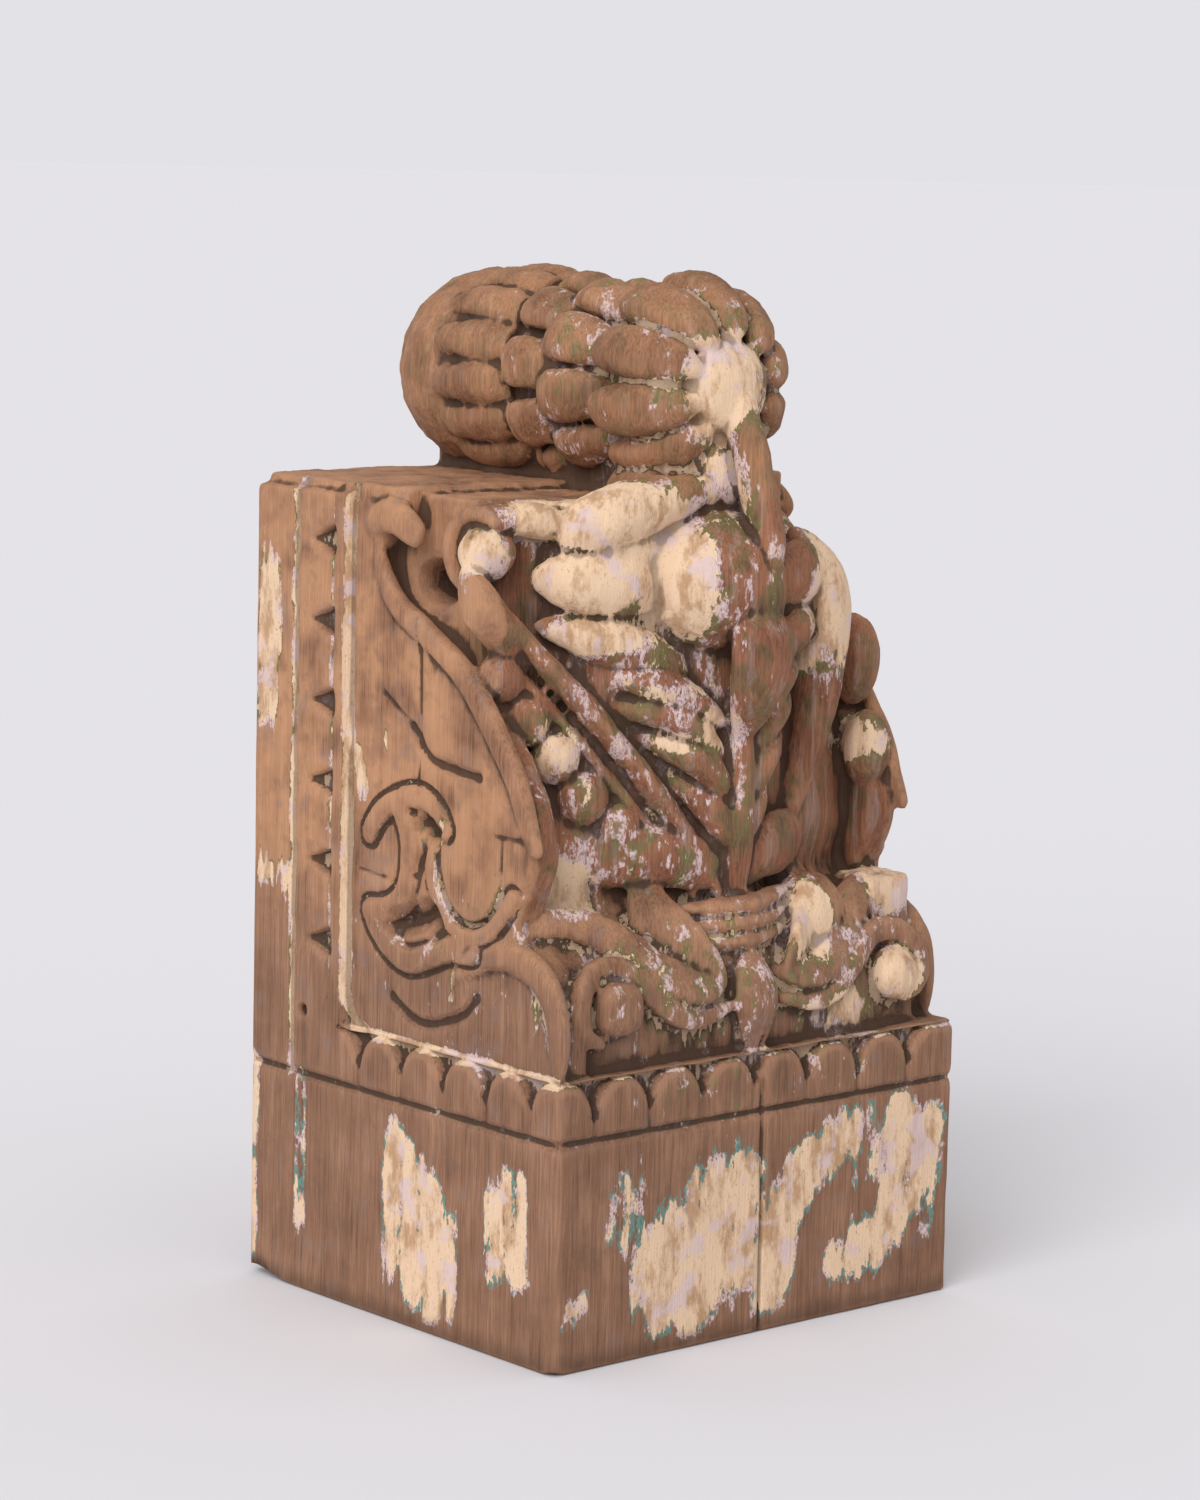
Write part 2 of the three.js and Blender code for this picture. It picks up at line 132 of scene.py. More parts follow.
def roundedBlock(x, y, z, corner, bevel=0.8):
    # Rings of four quarter circles joined by straights, stacked up with a small bevel at both ends
    quarter = np.linspace(0, np.pi / 2, 7)
    turn = np.concatenate([quarter + k * np.pi / 2 for k in range(4)])
    right = np.repeat([1, 0, 0, 1], 7)
    back = np.repeat([1, 1, 0, 0], 7)
    rows = []
    for height, inset in ((z[0], bevel), (z[0] + bevel, 0), (z[1] - bevel, 0), (z[1], bevel)):
        cx = np.where(right, x[1] - corner, x[0] + corner)
        cy = np.where(back, y[1] - corner, y[0] + corner)
        reach = corner - inset
        rows.append(np.stack([cx + reach * np.cos(turn), cy + reach * np.sin(turn), np.full(28, height)], -1))
    shell(np.array(rows))

# The block: plinth, the strip along the wall and the flat crown that carries the bud
block = {"half": 71.5, "front": -65.0, "wall": 65.0, "plinthTop": 76.0, "top": 218.0, "corner": 2.2}
halfWide = block["half"]
roundedBlock((-halfWide, halfWide), (block["front"], block["wall"]), (0, block["plinthTop"]), block["corner"])
roundedBlock((-halfWide, halfWide), (25, block["wall"]), (70, block["top"]), block["corner"])
roundedBlock((-halfWide + 3, halfWide - 4), (4, block["wall"] - 0.5), (210, block["top"] + 3), 3)
roundedBlock((-12, 12), (-24, block["wall"] - 1), (205, 229), 5)

# Leaf ground: front depth y of the body at each height, at the middle, half way out and at the side
ground = {
    "rows": [
        (66, -59, -59.5, -59, -59.5, -58), (90, -59, -59, -58.5, -59, -56), (101, -57, -55.5, -53, -55.5, -49),
        (109, -52, -49, -46, -49, -42), (116, -48, -40, -36, -38, -30), (130, -49, -41, -35, -40, -31),
        (152, -50, -40, -26, -38, -28), (182, -49, -42, -19, -36, -18), (206, -46, -44, -19, -35, 2),
        (219, -41, -39, -17, -18, 16),
    ],                             # height, middle, left half, left side, right half, right side
    "half": 34.0, "side": 62.0,
}

def leafGround(g):
    # Each height is a smooth front through five depths, closed by a straight back inside the strip
    table = smoothPath(g["rows"], 70)
    order = table[:, [3, 2, 1, 4, 5]]
    stations = np.array([-g["side"], -g["half"], 0, g["half"], g["side"]])
    fronts = []
    for low in range(4):
        u = np.linspace(0, 1, 8, endpoint=False)
        ease = u * u * (3 - 2 * u)
        x = stations[low] + u * (stations[low + 1] - stations[low])
        y = order[:, [low]] + ease * (order[:, [low + 1]] - order[:, [low]])
        fronts.append(np.stack([np.broadcast_to(x, y.shape), y], -1))
    lastX = np.full((len(table), 1), g["side"])
    fronts.append(np.stack([lastX, order[:, [4]]], -1))
    backX = np.linspace(g["side"], -g["side"], 9)[None, :] + np.zeros((len(table), 1))
    fronts.append(np.stack([backX, np.full_like(backX, 32.0)], -1))
    flat = np.concatenate(fronts, 1)
    height = np.broadcast_to(table[:, [0]], flat.shape[:2])
    shell(np.concatenate([flat, height[..., None]], -1))

leafGround(ground)

# Side panels: thin cheeks whose front edge is the cut-out outline of the scroll
panel = {
    "edge": [
        (-62, 70), (-62, 86), (-56, 101), (-46, 109), (-45, 116), (-50, 130), (-46, 145), (-37, 158),
        (-24, 172), (-6, 184), (8, 192), (13, 202), (6, 216),
    ],                             # depth and height down the front edge
    "face": 69.5, "thick": 11.0, "setBack": 8.0,
}

def sidePanel(side):
    # At each height a rounded bar from the cut-out edge back into the strip
    setBack = panel["setBack"] if side > 0 else 0.0
    edge = smoothPath(panel["edge"], 80)
    turn = np.linspace(-np.pi / 2, np.pi / 2, 11)[None, :]
    reach = panel["thick"] / 2
    middle = panel["face"] - reach
    front = edge[:, [0]] + setBack + 3.0
    x = side * (middle + reach * np.sign(np.sin(turn)) * np.abs(np.sin(turn)) ** 0.55) + 0 * front
    y = front - 3.0 * np.cos(turn) ** 0.8
    xBack = np.stack([x[:, -1], x[:, 0]], 1)
    yBack = np.full_like(xBack, 32.0)
    flat = np.stack([np.concatenate([x, xBack], 1), np.concatenate([y, yBack], 1)], -1)
    height = np.broadcast_to(edge[:, [1]], flat.shape[:2])
    shell(np.concatenate([flat, height[..., None]], -1))

sidePanel(-1)
sidePanel(1)

# Bands of the side scrolls, in depth and height on the panel's face
sideBands = [
    {"path": [(14, 205), (11, 197), (5, 190), (-5, 185), (-12, 181), (-22, 175), (-32, 165), (-40, 155),
              (-45, 147), (-49, 138), (-53, 131)], "wide": 3.7, "thick": 2.8, "power": 2.8},
    {"path": [(-20, 96), (-32, 103), (-42, 105), (-52, 103), (-59, 97), (-62, 88), (-62, 76)], "wide": 4.2,
     "thick": 2.6, "power": 2.8},
    {"path": [(19, 210), (8, 213), (-4, 208)], "wide": 5.0, "thick": 3.0, "power": 2.2},
]

for side in (-1, 1):
    for band in sideBands:
        back = panel["setBack"] if side > 0 else 0.0
        line = [(side * (panel["face"] - 0.6), y + (back if y < 0 else back * max(0, 1 - y / 14)), z)
                for y, z in band["path"]]
        sweep(line, band["wide"], band["thick"], (side, 0, 0), full=0.22, power=band["power"], along=60, around=20)

# The leaf stands on two facets that lean back from the middle to the sides
facet = {"foot": -54.0, "run": unit(np.array([62.0, 24.5]))}

def onFacet(side, s, z, lift=0.0):
    # s runs out along the facet, lift stands proud of it
    run = facet["run"]
    return (side * (run[0] * s + run[1] * lift), facet["foot"] + run[1] * s - run[0] * lift, z)

def facetUp(side):
    # The facet's outward normal, level with the ground
    return (side * facet["run"][1], -facet["run"][0], 0.0)

leafLobes = [
    {"sides": (-1,), "path": [(2, 224, -7), (16, 221, -4), (29, 218, -2), (41, 214, -1), (53, 208, -4)],
     "wide": 8.6, "thick": 7.4, "peak": 0.70, "full": 0.32},
    {"sides": (-1, 1), "path": [(22, 190, -5), (34, 197, -1), (46, 199, 0), (60, 199.5, -3)], "wide": 9.4,
     "thick": 6.0, "peak": 0.5, "full": 0.5},
    {"sides": (-1, 1), "path": [(14, 171, -4), (27, 179, -1), (42, 184, 0), (59, 188, -3)], "wide": 6.6,
     "thick": 5.0, "peak": 0.5, "full": 0.5},
    {"sides": (-1, 1), "path": [(4, 160, -3), (23, 171, 1), (48, 176.5, -4)], "wide": 4.9, "thick": 4.8,
     "peak": 0.5, "full": 0.5},
    {"sides": (-1, 1), "path": [(4, 150, -3), (19, 162.5, 1), (41, 167.5, -4)], "wide": 4.6, "thick": 4.8,
     "peak": 0.5, "full": 0.5},
    {"sides": (-1, 1), "path": [(3, 139, -3), (13, 151.5, 1), (31, 159.5, -4)], "wide": 4.7, "thick": 4.8,
     "peak": 0.5, "full": 0.5},
    {"sides": (-1, 1), "path": [(2, 125, -4), (8, 138, -1), (21, 148, -4)], "wide": 5.0, "thick": 4.6,
     "peak": 0.5, "full": 0.5},
    {"sides": (-1, 1), "path": [(2, 117, -4), (18, 126, 0), (36, 127, 0), (53, 121, -4)], "wide": 9.0,
     "thick": 4.8, "peak": 0.5, "full": 0.5},
]
for lobe in leafLobes:
    for side in lobe["sides"]:
        shrink = 0.72 if side > 0 else 1.0   # the right half lies further back, in the roll's shade
        line = [onFacet(side, s * shrink, z, lift) for s, z, lift in lobe["path"]]
        sweep(line, lobe["wide"], lobe["thick"], facetUp(side), lobe["peak"], lobe["full"], power=1.9)

# The leaf's middle: midrib, the curled-over tip with its hanging drop, and the cheeks behind
leafMiddle = {
    "midrib": [(0, -49, 106), (0, -52, 135), (0, -51, 170)],
    "drop": [(1, -50, 196), (1, -58, 184), (0, -57.5, 170), (-1, -52, 155)],
    "tip": [((-4, -39.5, 198), (22, 21.5, 20)), ((1, -46, 196), (14, 15, 18))],
    "cheek": ((-6, -30, 221), (18, 18, 9)),
}
sweep(leafMiddle["midrib"], 4.4, 4.6, (0, -1, 0), full=0.25)
for centre, radii in leafMiddle["tip"]:
    egg(centre, radii)
sweep(leafMiddle["drop"], 10, 6, (0, -1, 0), 0.42, 0.6, 1.9)
egg(*leafMiddle["cheek"])

# Left edge of the leaf: a ridged stem with a long bulge above it and a row of beads below
leftStem = {
    "stem": [(4, 114, -2), (20, 137, 0), (40, 161, 1.5), (60, 182, 1.5), (74, 198, 0)],
    "rib": [(9, 111, -3), (27, 135, -1.5), (47, 158.5, -1), (66, 178.5, -1), (76, 190, -2)],
    "bulge": [(77, 204, -3), (73, 192, 1.5), (58, 176, -3)],
    "beads": [(67, 174.5, 6.4, 6.8), (60, 163.5, 6.4, 7.0), (52, 153.5, 6.8, 7.6),
              (45, 143, 7.6, 8.2), (35, 135, 6.6, 7.4)],
}
for name, wide, thick, full, power in (
        ("stem", 3.6, 4.6, 0.2, 1.5), ("rib", 2.2, 3.4, 0.2, 1.8), ("bulge", 6.0, 6.5, 0.7, 2.0)):
    sweep([onFacet(-1, *p) for p in leftStem[name]], wide, thick, facetUp(-1), full=full, power=power, along=60)
for s, z, wide, tall in leftStem["beads"]:
    egg(onFacet(-1, s, z, -1.5), (wide, wide, tall))

# Volute at the head of the left side: an eye, the curl round it and a stalk back to the leaf
volute = {"eye": (-64.0, -24.0, 206), "eyeSize": 7.4, "curl": 10.6,
          "stalk": [(-62, -27, 216), (-53, -30, 214.5), (-46, -32, 213)]}

def voluteCurl(v):
    # A spiral in the side plane, from under the eye round its wall side and over the top
    turn = np.radians(np.linspace(-75, 135, 7))
    reach = v["curl"] * np.linspace(1.12, 0.92, 7)
    x, y, z = v["eye"]
    return np.stack([np.full(7, x + 1.0), y + reach * np.cos(turn), z + reach * np.sin(turn)], -1)

egg(volute["eye"], (8.0, volute["eyeSize"], volute["eyeSize"]))
sweep(voluteCurl(volute), 3.0, 6.5, (-1, 0, 0), full=0.25, power=2.2)
sweep(volute["stalk"], 4.8, 5.0, (0, 0, 1), full=0.3)

# Right edge of the leaf: a thick roll that ends under the bud, with leaflets outside it
roll = {
    "path": [(8, 116, -3), (24, 126, -2), (33, 140, -1), (40, 160, 0), (44, 180, 0), (41, 196, 0), (30, 211, -3)],
    "leaflets": [((61, -31, 172), (7, 8, 13)), ((62, -36, 148), (7, 7, 11))],
}
sweep([onFacet(1, *p) for p in roll["path"]], 8.6, 8.6, facetUp(1), 0.72, 0.62, 2.2, 60)
for centre, radii in roll["leaflets"]:
    egg(centre, radii)

# Foot: the tie round the leaf's stalk, the drop under it and a volute to each side
foot = {
    "turns": [105.0, 109.6, 114.2], "turn": [(-20, -49), (0, -57), (20, -49)],
    "drop": [(0, -57, 104), (-1, -62, 90), (-1, -61, 73)],
    "horn": [(8, -58, 96), (20, -60, 94), (32, -57, 99.5), (42, -51, 107.5), (54, -46, 112.5), (67, -43, 111.5)],
    "curl": [(7, -61, 89), (20, -61, 86), (29, -61, 88.5), (38, -59, 96), (46, -57, 101.5), (54, -57, 101.5),
             (60, -60, 95.5), (60, -61, 87), (52, -61, 82.5)],
    "strap": [(27, -44, 122), (27, -50, 112), (21, -56, 103), (11, -60, 93)],
}
for z in foot["turns"]:
    sweep([(x, y, z + 0.06 * x) for x, y in foot["turn"]], 2.5, 4.0, (0, -1, 0), full=0.35, power=2.2)
sweep(foot["drop"], 7.4, 4.4, (0, -1, 0), 0.5, 0.75, 1.5)
for side in (-1, 1):
    sweep([(side * x, y, z) for x, y, z in foot["horn"]], 5.8, 3.4, (0, -1, 0.5), full=0.4, power=2.8, along=60)
    sweep([(side * x, y, z) for x, y, z in foot["curl"]], 3.4, 2.4, (0, -1, 0), full=0.3, power=3.4, along=70)
    sweep([(side * x, y, z) for x, y, z in foot["strap"]], 8.0, 2.6, (side * 0.4, -1, 0), full=0.4, power=3.0)
egg((-48, -61.0, 92), (7.0, 4.2, 7.0), power=2.8)
egg((52, -59, 90), (7.6, 6, 7.6))
egg((27, -50, 107), (12, 9, 12))
roundedBlock((50, 66), (-52, -36), (100, 115), 3)

# Bud: a turned core lying from the wall to the front, and rings of petals that overlap like tiles
bud = {
    "axis": 248.0, "calyx": ((-1, -44, 248), (13, 7.5, 13)), "throat": ((-1, -36, 226), (13, 14, 14)),
    "neck": [(3, -52, 190), (4, -57, 206), (2, -54, 221), (0, -51, 236), (0, -45, 247), (0, -30, 249)],
    "core": [(0.1, -49), (7, -46), (12, -38), (17.5, -22), (20.5, -5), (21.5, 12), (23.4, 20),
             (26.1, 32), (27.4, 44), (28, 51), (27.2, 57), (23.5, 64.6), (0.1, 64.9)],           # radius and depth
    "rings": [
        {"count": 10, "turn": 0.1, "path": [(12, -47), (18, -41.5), (24.2, -30), (24, -16)], "wide": 7.2,
         "thick": 5.6, "peak": 0.62, "full": 0.40, "power": 2.5},
        {"count": 9, "turn": 0.5, "path": [(14, -22), (20, -13), (23.5, -2), (20.5, 6)], "wide": 7.4,
         "thick": 4.4, "peak": 0.6, "full": 0.45, "power": 2.2},
        {"count": 9, "turn": 0.0, "path": [(16, -6), (21, 3), (24.5, 13), (21, 20)], "wide": 7.4, "thick": 4.0,
         "peak": 0.6, "full": 0.45, "power": 2.2},
        {"count": 14, "turn": 0.3, "path": [(18, 14), (25, 22), (27, 36), (25.5, 50)], "wide": 5.6,
         "thick": 2.8, "peak": 0.45, "full": 0.42, "power": 2.0},
    ],
}

def budCore(b):
    # The profile turned about the lying axis
    profile = np.array(b["core"], float)
    turn = np.linspace(0, 2 * np.pi, 16, endpoint=False)[None, :]   # sixteen flats, as it was hewn
    x = profile[:, [0]] * np.sin(turn)
    z = b["axis"] + profile[:, [0]] * np.cos(turn)
    y = np.broadcast_to(profile[:, [1]], x.shape)
    shell(np.stack([x, y, z], -1))

budCore(bud)
egg(*bud["calyx"])
for ring in bud["rings"]:
    for k in range(ring["count"]):
        angle = 2 * np.pi * (k + ring["turn"]) / ring["count"]
        outward = (np.sin(angle), 0.0, np.cos(angle))
        line = [(r * outward[0], y, bud["axis"] + r * outward[2]) for r, y in ring["path"]]
        sweep(line, ring["wide"], ring["thick"], outward, ring["peak"], ring["full"], ring["power"])
sweep(bud["neck"], 5.2, 5.4, (0, -1, 0.3), full=0.3)
egg(*bud["throat"])
print("shells made:", len(carving))

# Fusing: a voxel skin over all shells makes one closed body with carved creases between the forms
fuse = {"voxel": 0.75, "faces": 190000}

def bodyFrom(points, faces, name):
    # Millimetre points and their faces as a mesh in metres
    made = bpy.data.meshes.new(name)
    made.from_pydata((points * metre).tolist(), [], faces)
    made.update()
    return made

def evaluated(obj):
    # The mesh as its modifiers leave it, taken off the object
    graph = bpy.context.evaluated_depsgraph_get()
    graph.update()
    return bpy.data.meshes.new_from_object(obj.evaluated_get(graph))

def fused(shells):
    # Shells laid end to end in one mesh, each one's faces counted on from its first point, then skinned
    points = np.vstack([p for p, q in shells])
    starts = np.cumsum([0] + [len(p) for p, q in shells[:-1]])
    quads = np.vstack([q + s for (p, q), s in zip(shells, starts)])
    faces = [f[:3] if f[2] == f[3] else f for f in quads.tolist()]
    work = bpy.data.objects.new("fusing", bodyFrom(points, faces, "fusing"))
    scene.collection.objects.link(work)
    skin = work.modifiers.new("skin", "REMESH")
    skin.mode = "VOXEL"
    skin.voxel_size = fuse["voxel"] * metre
    made = evaluated(work)
    bpy.data.objects.remove(work)
    return made

def meshPoints(mesh):
    # Places in millimetres, one row a vertex
    flat = np.empty(len(mesh.vertices) * 3)
    mesh.vertices.foreach_get("co", flat)
    return flat.reshape(-1, 3) / metre

def meshEdges(mesh):
    # The two ends of each edge
    flat = np.empty(len(mesh.edges) * 2, np.int64)
    mesh.edges.foreach_get("vertices", flat)
    return flat.reshape(-1, 2)

def meshNormals(mesh):
    # Outward directions, one row a vertex
    flat = np.empty(len(mesh.vertices) * 3, np.float32)
    mesh.vertex_normals.foreach_get("vector", flat)
    return flat.reshape(-1, 3).astype(float)

def softened(values, edges, rounds):
    # Each round replaces a vertex's value by the mean of its neighbours'
    count = len(values)
    degree = np.maximum(np.bincount(edges.ravel(), minlength=count), 1)[:, None]
    kept = values.reshape(count, -1)
    for _ in range(rounds):
        total = np.stack([np.bincount(edges[:, 0], kept[edges[:, 1], k], count)
                          + np.bincount(edges[:, 1], kept[edges[:, 0], k], count)
                          for k in range(kept.shape[1])], -1)
        kept = total / degree
    return kept.reshape(values.shape)

def ramp(value, low, high):
    # Smoothstep from low to high
    t = np.clip((value - low) / (high - low), 0, 1)
    return t * t * (3 - 2 * t)

lattice = np.random.default_rng(11).random((48, 48, 48))

def patch(points, size, seed=0):
    # Value noise: lattice numbers blended smoothly, one cell per size, from -1 to 1
    q = points / np.asarray(size, float) + seed * 7.31
    low = np.floor(q).astype(int)
    f = q - low
    f = f * f * (3 - 2 * f)
    total = np.zeros(len(points))
    for dx in (0, 1):
        for dy in (0, 1):
            for dz in (0, 1):
                weight = (np.abs(1 - dx - f[:, 0]) * np.abs(1 - dy - f[:, 1]) * np.abs(1 - dz - f[:, 2]))
                total += weight * lattice[(low[:, 0] + dx) % 48, (low[:, 1] + dy) % 48, (low[:, 2] + dz) % 48]
    return 2 * total - 1

def lineDistance(a, b, line):
    # Least distance from each (a, b) to the stretches of a line
    best = np.full(a.shape, 1e9)
    for (a0, b0), (a1, b1) in zip(line[:-1], line[1:]):
        da, db = a1 - a0, b1 - b0
        length = np.hypot(da, db)
        t = np.clip(((a - a0) * da + (b - b0) * db) / length ** 2, 0, 1)
        best = np.minimum(best, np.hypot(a - a0 - t * da, b - b0 - t * db))
    return best

def vee(distance, half, depth):
    # A cut with straight sides and a slightly rounded bottom
    return -depth * np.clip(1 - distance / half, 0, 1) ** 0.85

# Low relief on the flat faces: the scalloped border with its vee grooves, and the cuts in the side panels
border = {
    "notchSideZ": [97.5 + 21.5 * k for k in range(6)], "notchSideY": [-52.5 + 17.5 * k for k in range(5)],
    "notchFront": [-58.1 + 18.6 * k for k in range(7)],
    "lowGroove": 60.0, "highGroove": 75.5, "outerGroove": 47.0, "innerGroove": 25.0, "fillet": 31.0,
    "notchDeep": 3.2, "notchWide": 4.2, "notchLong": 11.0, "archRise": 11.0, "archDeep": 3.0,
}
sideCuts = [
    {"path": [(-15, 136), (-12.5, 130), (-12, 122), (-15, 116), (-20, 112), (-25, 110.5), (-30, 111.5),
              (-34, 114.5), (-38, 121)], "half": 1.3, "deep": 1.5, "paint": 0.7},
    {"path": [(6, 87), (-3, 82.5), (-10, 82), (-17, 84), (-24, 87), (-29, 92)], "half": 1.9, "deep": 1.7,
     "paint": 0.3},
    {"path": [(-1, 159), (-8, 152), (-18, 150), (-28, 149)], "half": 2.1, "deep": 1.9, "paint": 0.2},
    {"path": [(11, 167), (0, 160), (-6, 153)], "half": 1.0, "deep": 0.9, "paint": 0.0},
    {"path": [(-20, 100), (-19, 90)], "half": 1.2, "deep": 0.8, "paint": 0.9},
    {"path": [(21, 119), (8, 118)], "half": 0.9, "deep": 0.7, "paint": 0.0},
    {"path": [(-35, 135), (-46, 135)], "half": 1.0, "deep": 0.9, "paint": 0.0},
    {"path": [(-38, 134), (-38, 126)], "half": 0.9, "deep": 0.8, "paint": 0.0},
    {"path": [(-4, 190), (-4.5, 165), (-4, 142)], "half": 0.8, "deep": 1.0, "paint": 0.0},
    {"path": [(-6.5, 134.5), (-10, 133)], "half": 3.4, "deep": 6.0, "paint": 0.0},
    {"path": [(3, 107), (-4, 109), (-9, 111), (-12, 108)], "half": 4.6, "deep": 5.5, "paint": 0.25},
    {"path": [(-3, 120), (-7, 127), (-8, 131)], "half": 2.0, "deep": 2.0, "paint": 0.0},
]

def notchCut(along, centres, into, b):
    # A triangle that starts on the border's inner edge and comes to a point, cut square and deep
    gap = np.min([np.abs(along - c) for c in centres], axis=0)
    reach = b["notchWide"] * np.clip(1 - into / b["notchLong"], 0, 1) ** 0.8
    inside = ramp(reach - gap, 0.0, 1.2) * (into > -0.6)
    return -b["notchDeep"] * inside * np.clip(1.15 - into / b["notchLong"], 0, 1), gap

def archCut(along, centres, into, half, b):
    # Round-headed scallops: the head is a half circle between two notches, and outside it the wood is cut away
    gap = np.min([np.abs(along - c) for c in centres], axis=0)
    off = np.clip(half - gap, 0, half)
    head = 0.8 + b["archRise"] * (1 - np.sqrt(1 - (off / half) ** 2))
    pillow = 1.1 * (off / half) ** 4
    return -b["archDeep"] * ramp(head - into, -0.2, 1.6) - pillow, gap

ribbons = [
    {"path": [(16, 129), (14, 132), (10, 136), (2, 140), (-6, 141), (-12, 138), (-15, 134)], "half": 3.2},
    {"path": [(4, 138), (0, 131), (-1, 123), (1, 115), (7, 110), (15, 108.5)], "half": 3.6},
    {"path": [(15, 108), (11, 103.5), (5, 99), (-2, 97.5), (-10, 100), (-18, 103), (-28, 104)], "half": 3.6},
    {"path": [(-9, 129), (-10.5, 121), (-14, 113.5), (-20, 108.7), (-25.5, 107.2), (-31.5, 108.7),
              (-37, 112.3), (-43, 120)], "half": 2.5},
]

def sideRelief(y, z, b):
    # Depths added up on the side face: grooves, scallops, panel cuts; and how much paint the cuts hold
    cut = np.zeros_like(y)
    paint = np.zeros_like(y)
    grooves = [([(b["outerGroove"], 230), (b["outerGroove"], b["lowGroove"])], 1.5, 1.6, 0.9),
               ([(80, b["lowGroove"]), (-80, b["lowGroove"])], 1.4, 1.4, 0.35),
               ([(b["innerGroove"], 230), (b["innerGroove"], 84), (22, 77.5),
                 (15, b["highGroove"]), (-80, b["highGroove"])],
                1.7, 1.8, 0.95)]
    for line, half, deep, hold in grooves:
        d = lineDistance(y, z, line)
        cut = np.minimum(cut, vee(d, half, deep))
        paint = np.maximum(paint, hold * ramp(-d, -half * 1.3, -half * 0.4))
    notch, gap = notchCut(z, b["notchSideZ"], y - b["fillet"], b)
    inStrip = (y > 22) & (y < b["outerGroove"]) & (z > 80)
    paint = np.maximum(paint, np.where(inStrip, 0.5 * ramp(-notch, 0.6, 2.0), 0))
    cut += np.where(inStrip, notch - 0.5 * ramp(-gap, -6, 0) * (y > b["fillet"]), 0)
    notch, gap = archCut(y, b["notchSideY"], b["highGroove"] - z, 8.75, b)
    low = (z > b["lowGroove"]) & (z < b["highGroove"]) & (y < 26)
    cut = np.where(low, np.minimum(cut, notch), cut)
    paint = np.maximum(paint, np.where(low, 0.42 * ramp(-notch, 1.4, 2.6), 0))
    d = np.abs(y - b["fillet"])
    line = ramp(-d, -1.3, -0.2) * (z > 82)
    cut -= 0.5 * line
    paint = np.maximum(paint, 0.62 * line)
    field = (y < b["innerGroove"] + 2) & (z > b["highGroove"])
    raised = np.zeros_like(y)
    edge = np.full_like(y, 9.0)
    for r in ribbons:
        d = lineDistance(y, z, smoothPath(r["path"], 30))
        raised = np.maximum(raised, ramp(r["half"] - d, -0.5, 0.7))
        outside = np.where(d > r["half"] - 0.9, np.abs(d - r["half"] - 0.5), 9.0)
        edge = np.minimum(edge, outside + 4 * (raised > 0.9) * (d < r["half"] - 0.9))
    line = ramp(-edge, -1.1, -0.1) * (raised < 0.95)
    cut += np.where(field, 0.9 * raised - 1.1 * line, 0)
    paint = np.maximum(paint, np.where(field, 0.56 * line, 0))
    for c in sideCuts:
        d = lineDistance(y, z, smoothPath(c["path"], 24))
        cut += np.where(field, vee(d, c["half"], c["deep"]), 0)
        paint = np.maximum(paint, np.where(field, c["paint"] * ramp(-d, -c["half"] * 1.4, -c["half"] * 0.3), 0))
    d = lineDistance(y, z, [(42, 77), (42, 77.5)])
    cut += vee(d, 1.6, 6.0)
    return cut, paint

def frontRelief(x, z, b):
    # The same border across the front of the plinth
    cut = np.zeros_like(x)
    paint = np.zeros_like(x)
    for height, half, deep, hold in ((b["lowGroove"], 1.4, 1.4, 0.35), (b["highGroove"], 1.6, 1.6, 0.7)):
        d = np.abs(z - height)
        cut = np.minimum(cut, vee(d, half, deep))
        paint = np.maximum(paint, hold * ramp(-d, -half * 1.3, -half * 0.4))
    notch, gap = archCut(x, b["notchFront"], b["highGroove"] - z, 9.3, b)
    low = (z > b["lowGroove"]) & (z < b["highGroove"])
    cut = np.where(low, np.minimum(cut, notch), cut)
    paint = np.maximum(paint, np.where(low, (0.40 + 0.2 * ramp(x, 0, 40)) * ramp(-notch, 1.4, 2.6), 0))
    d = lineDistance(x, z, [(0.5, 0), (0.2, 40), (-0.4, 80)])
    cut += vee(d, 0.8, 1.2)
    return cut, paint

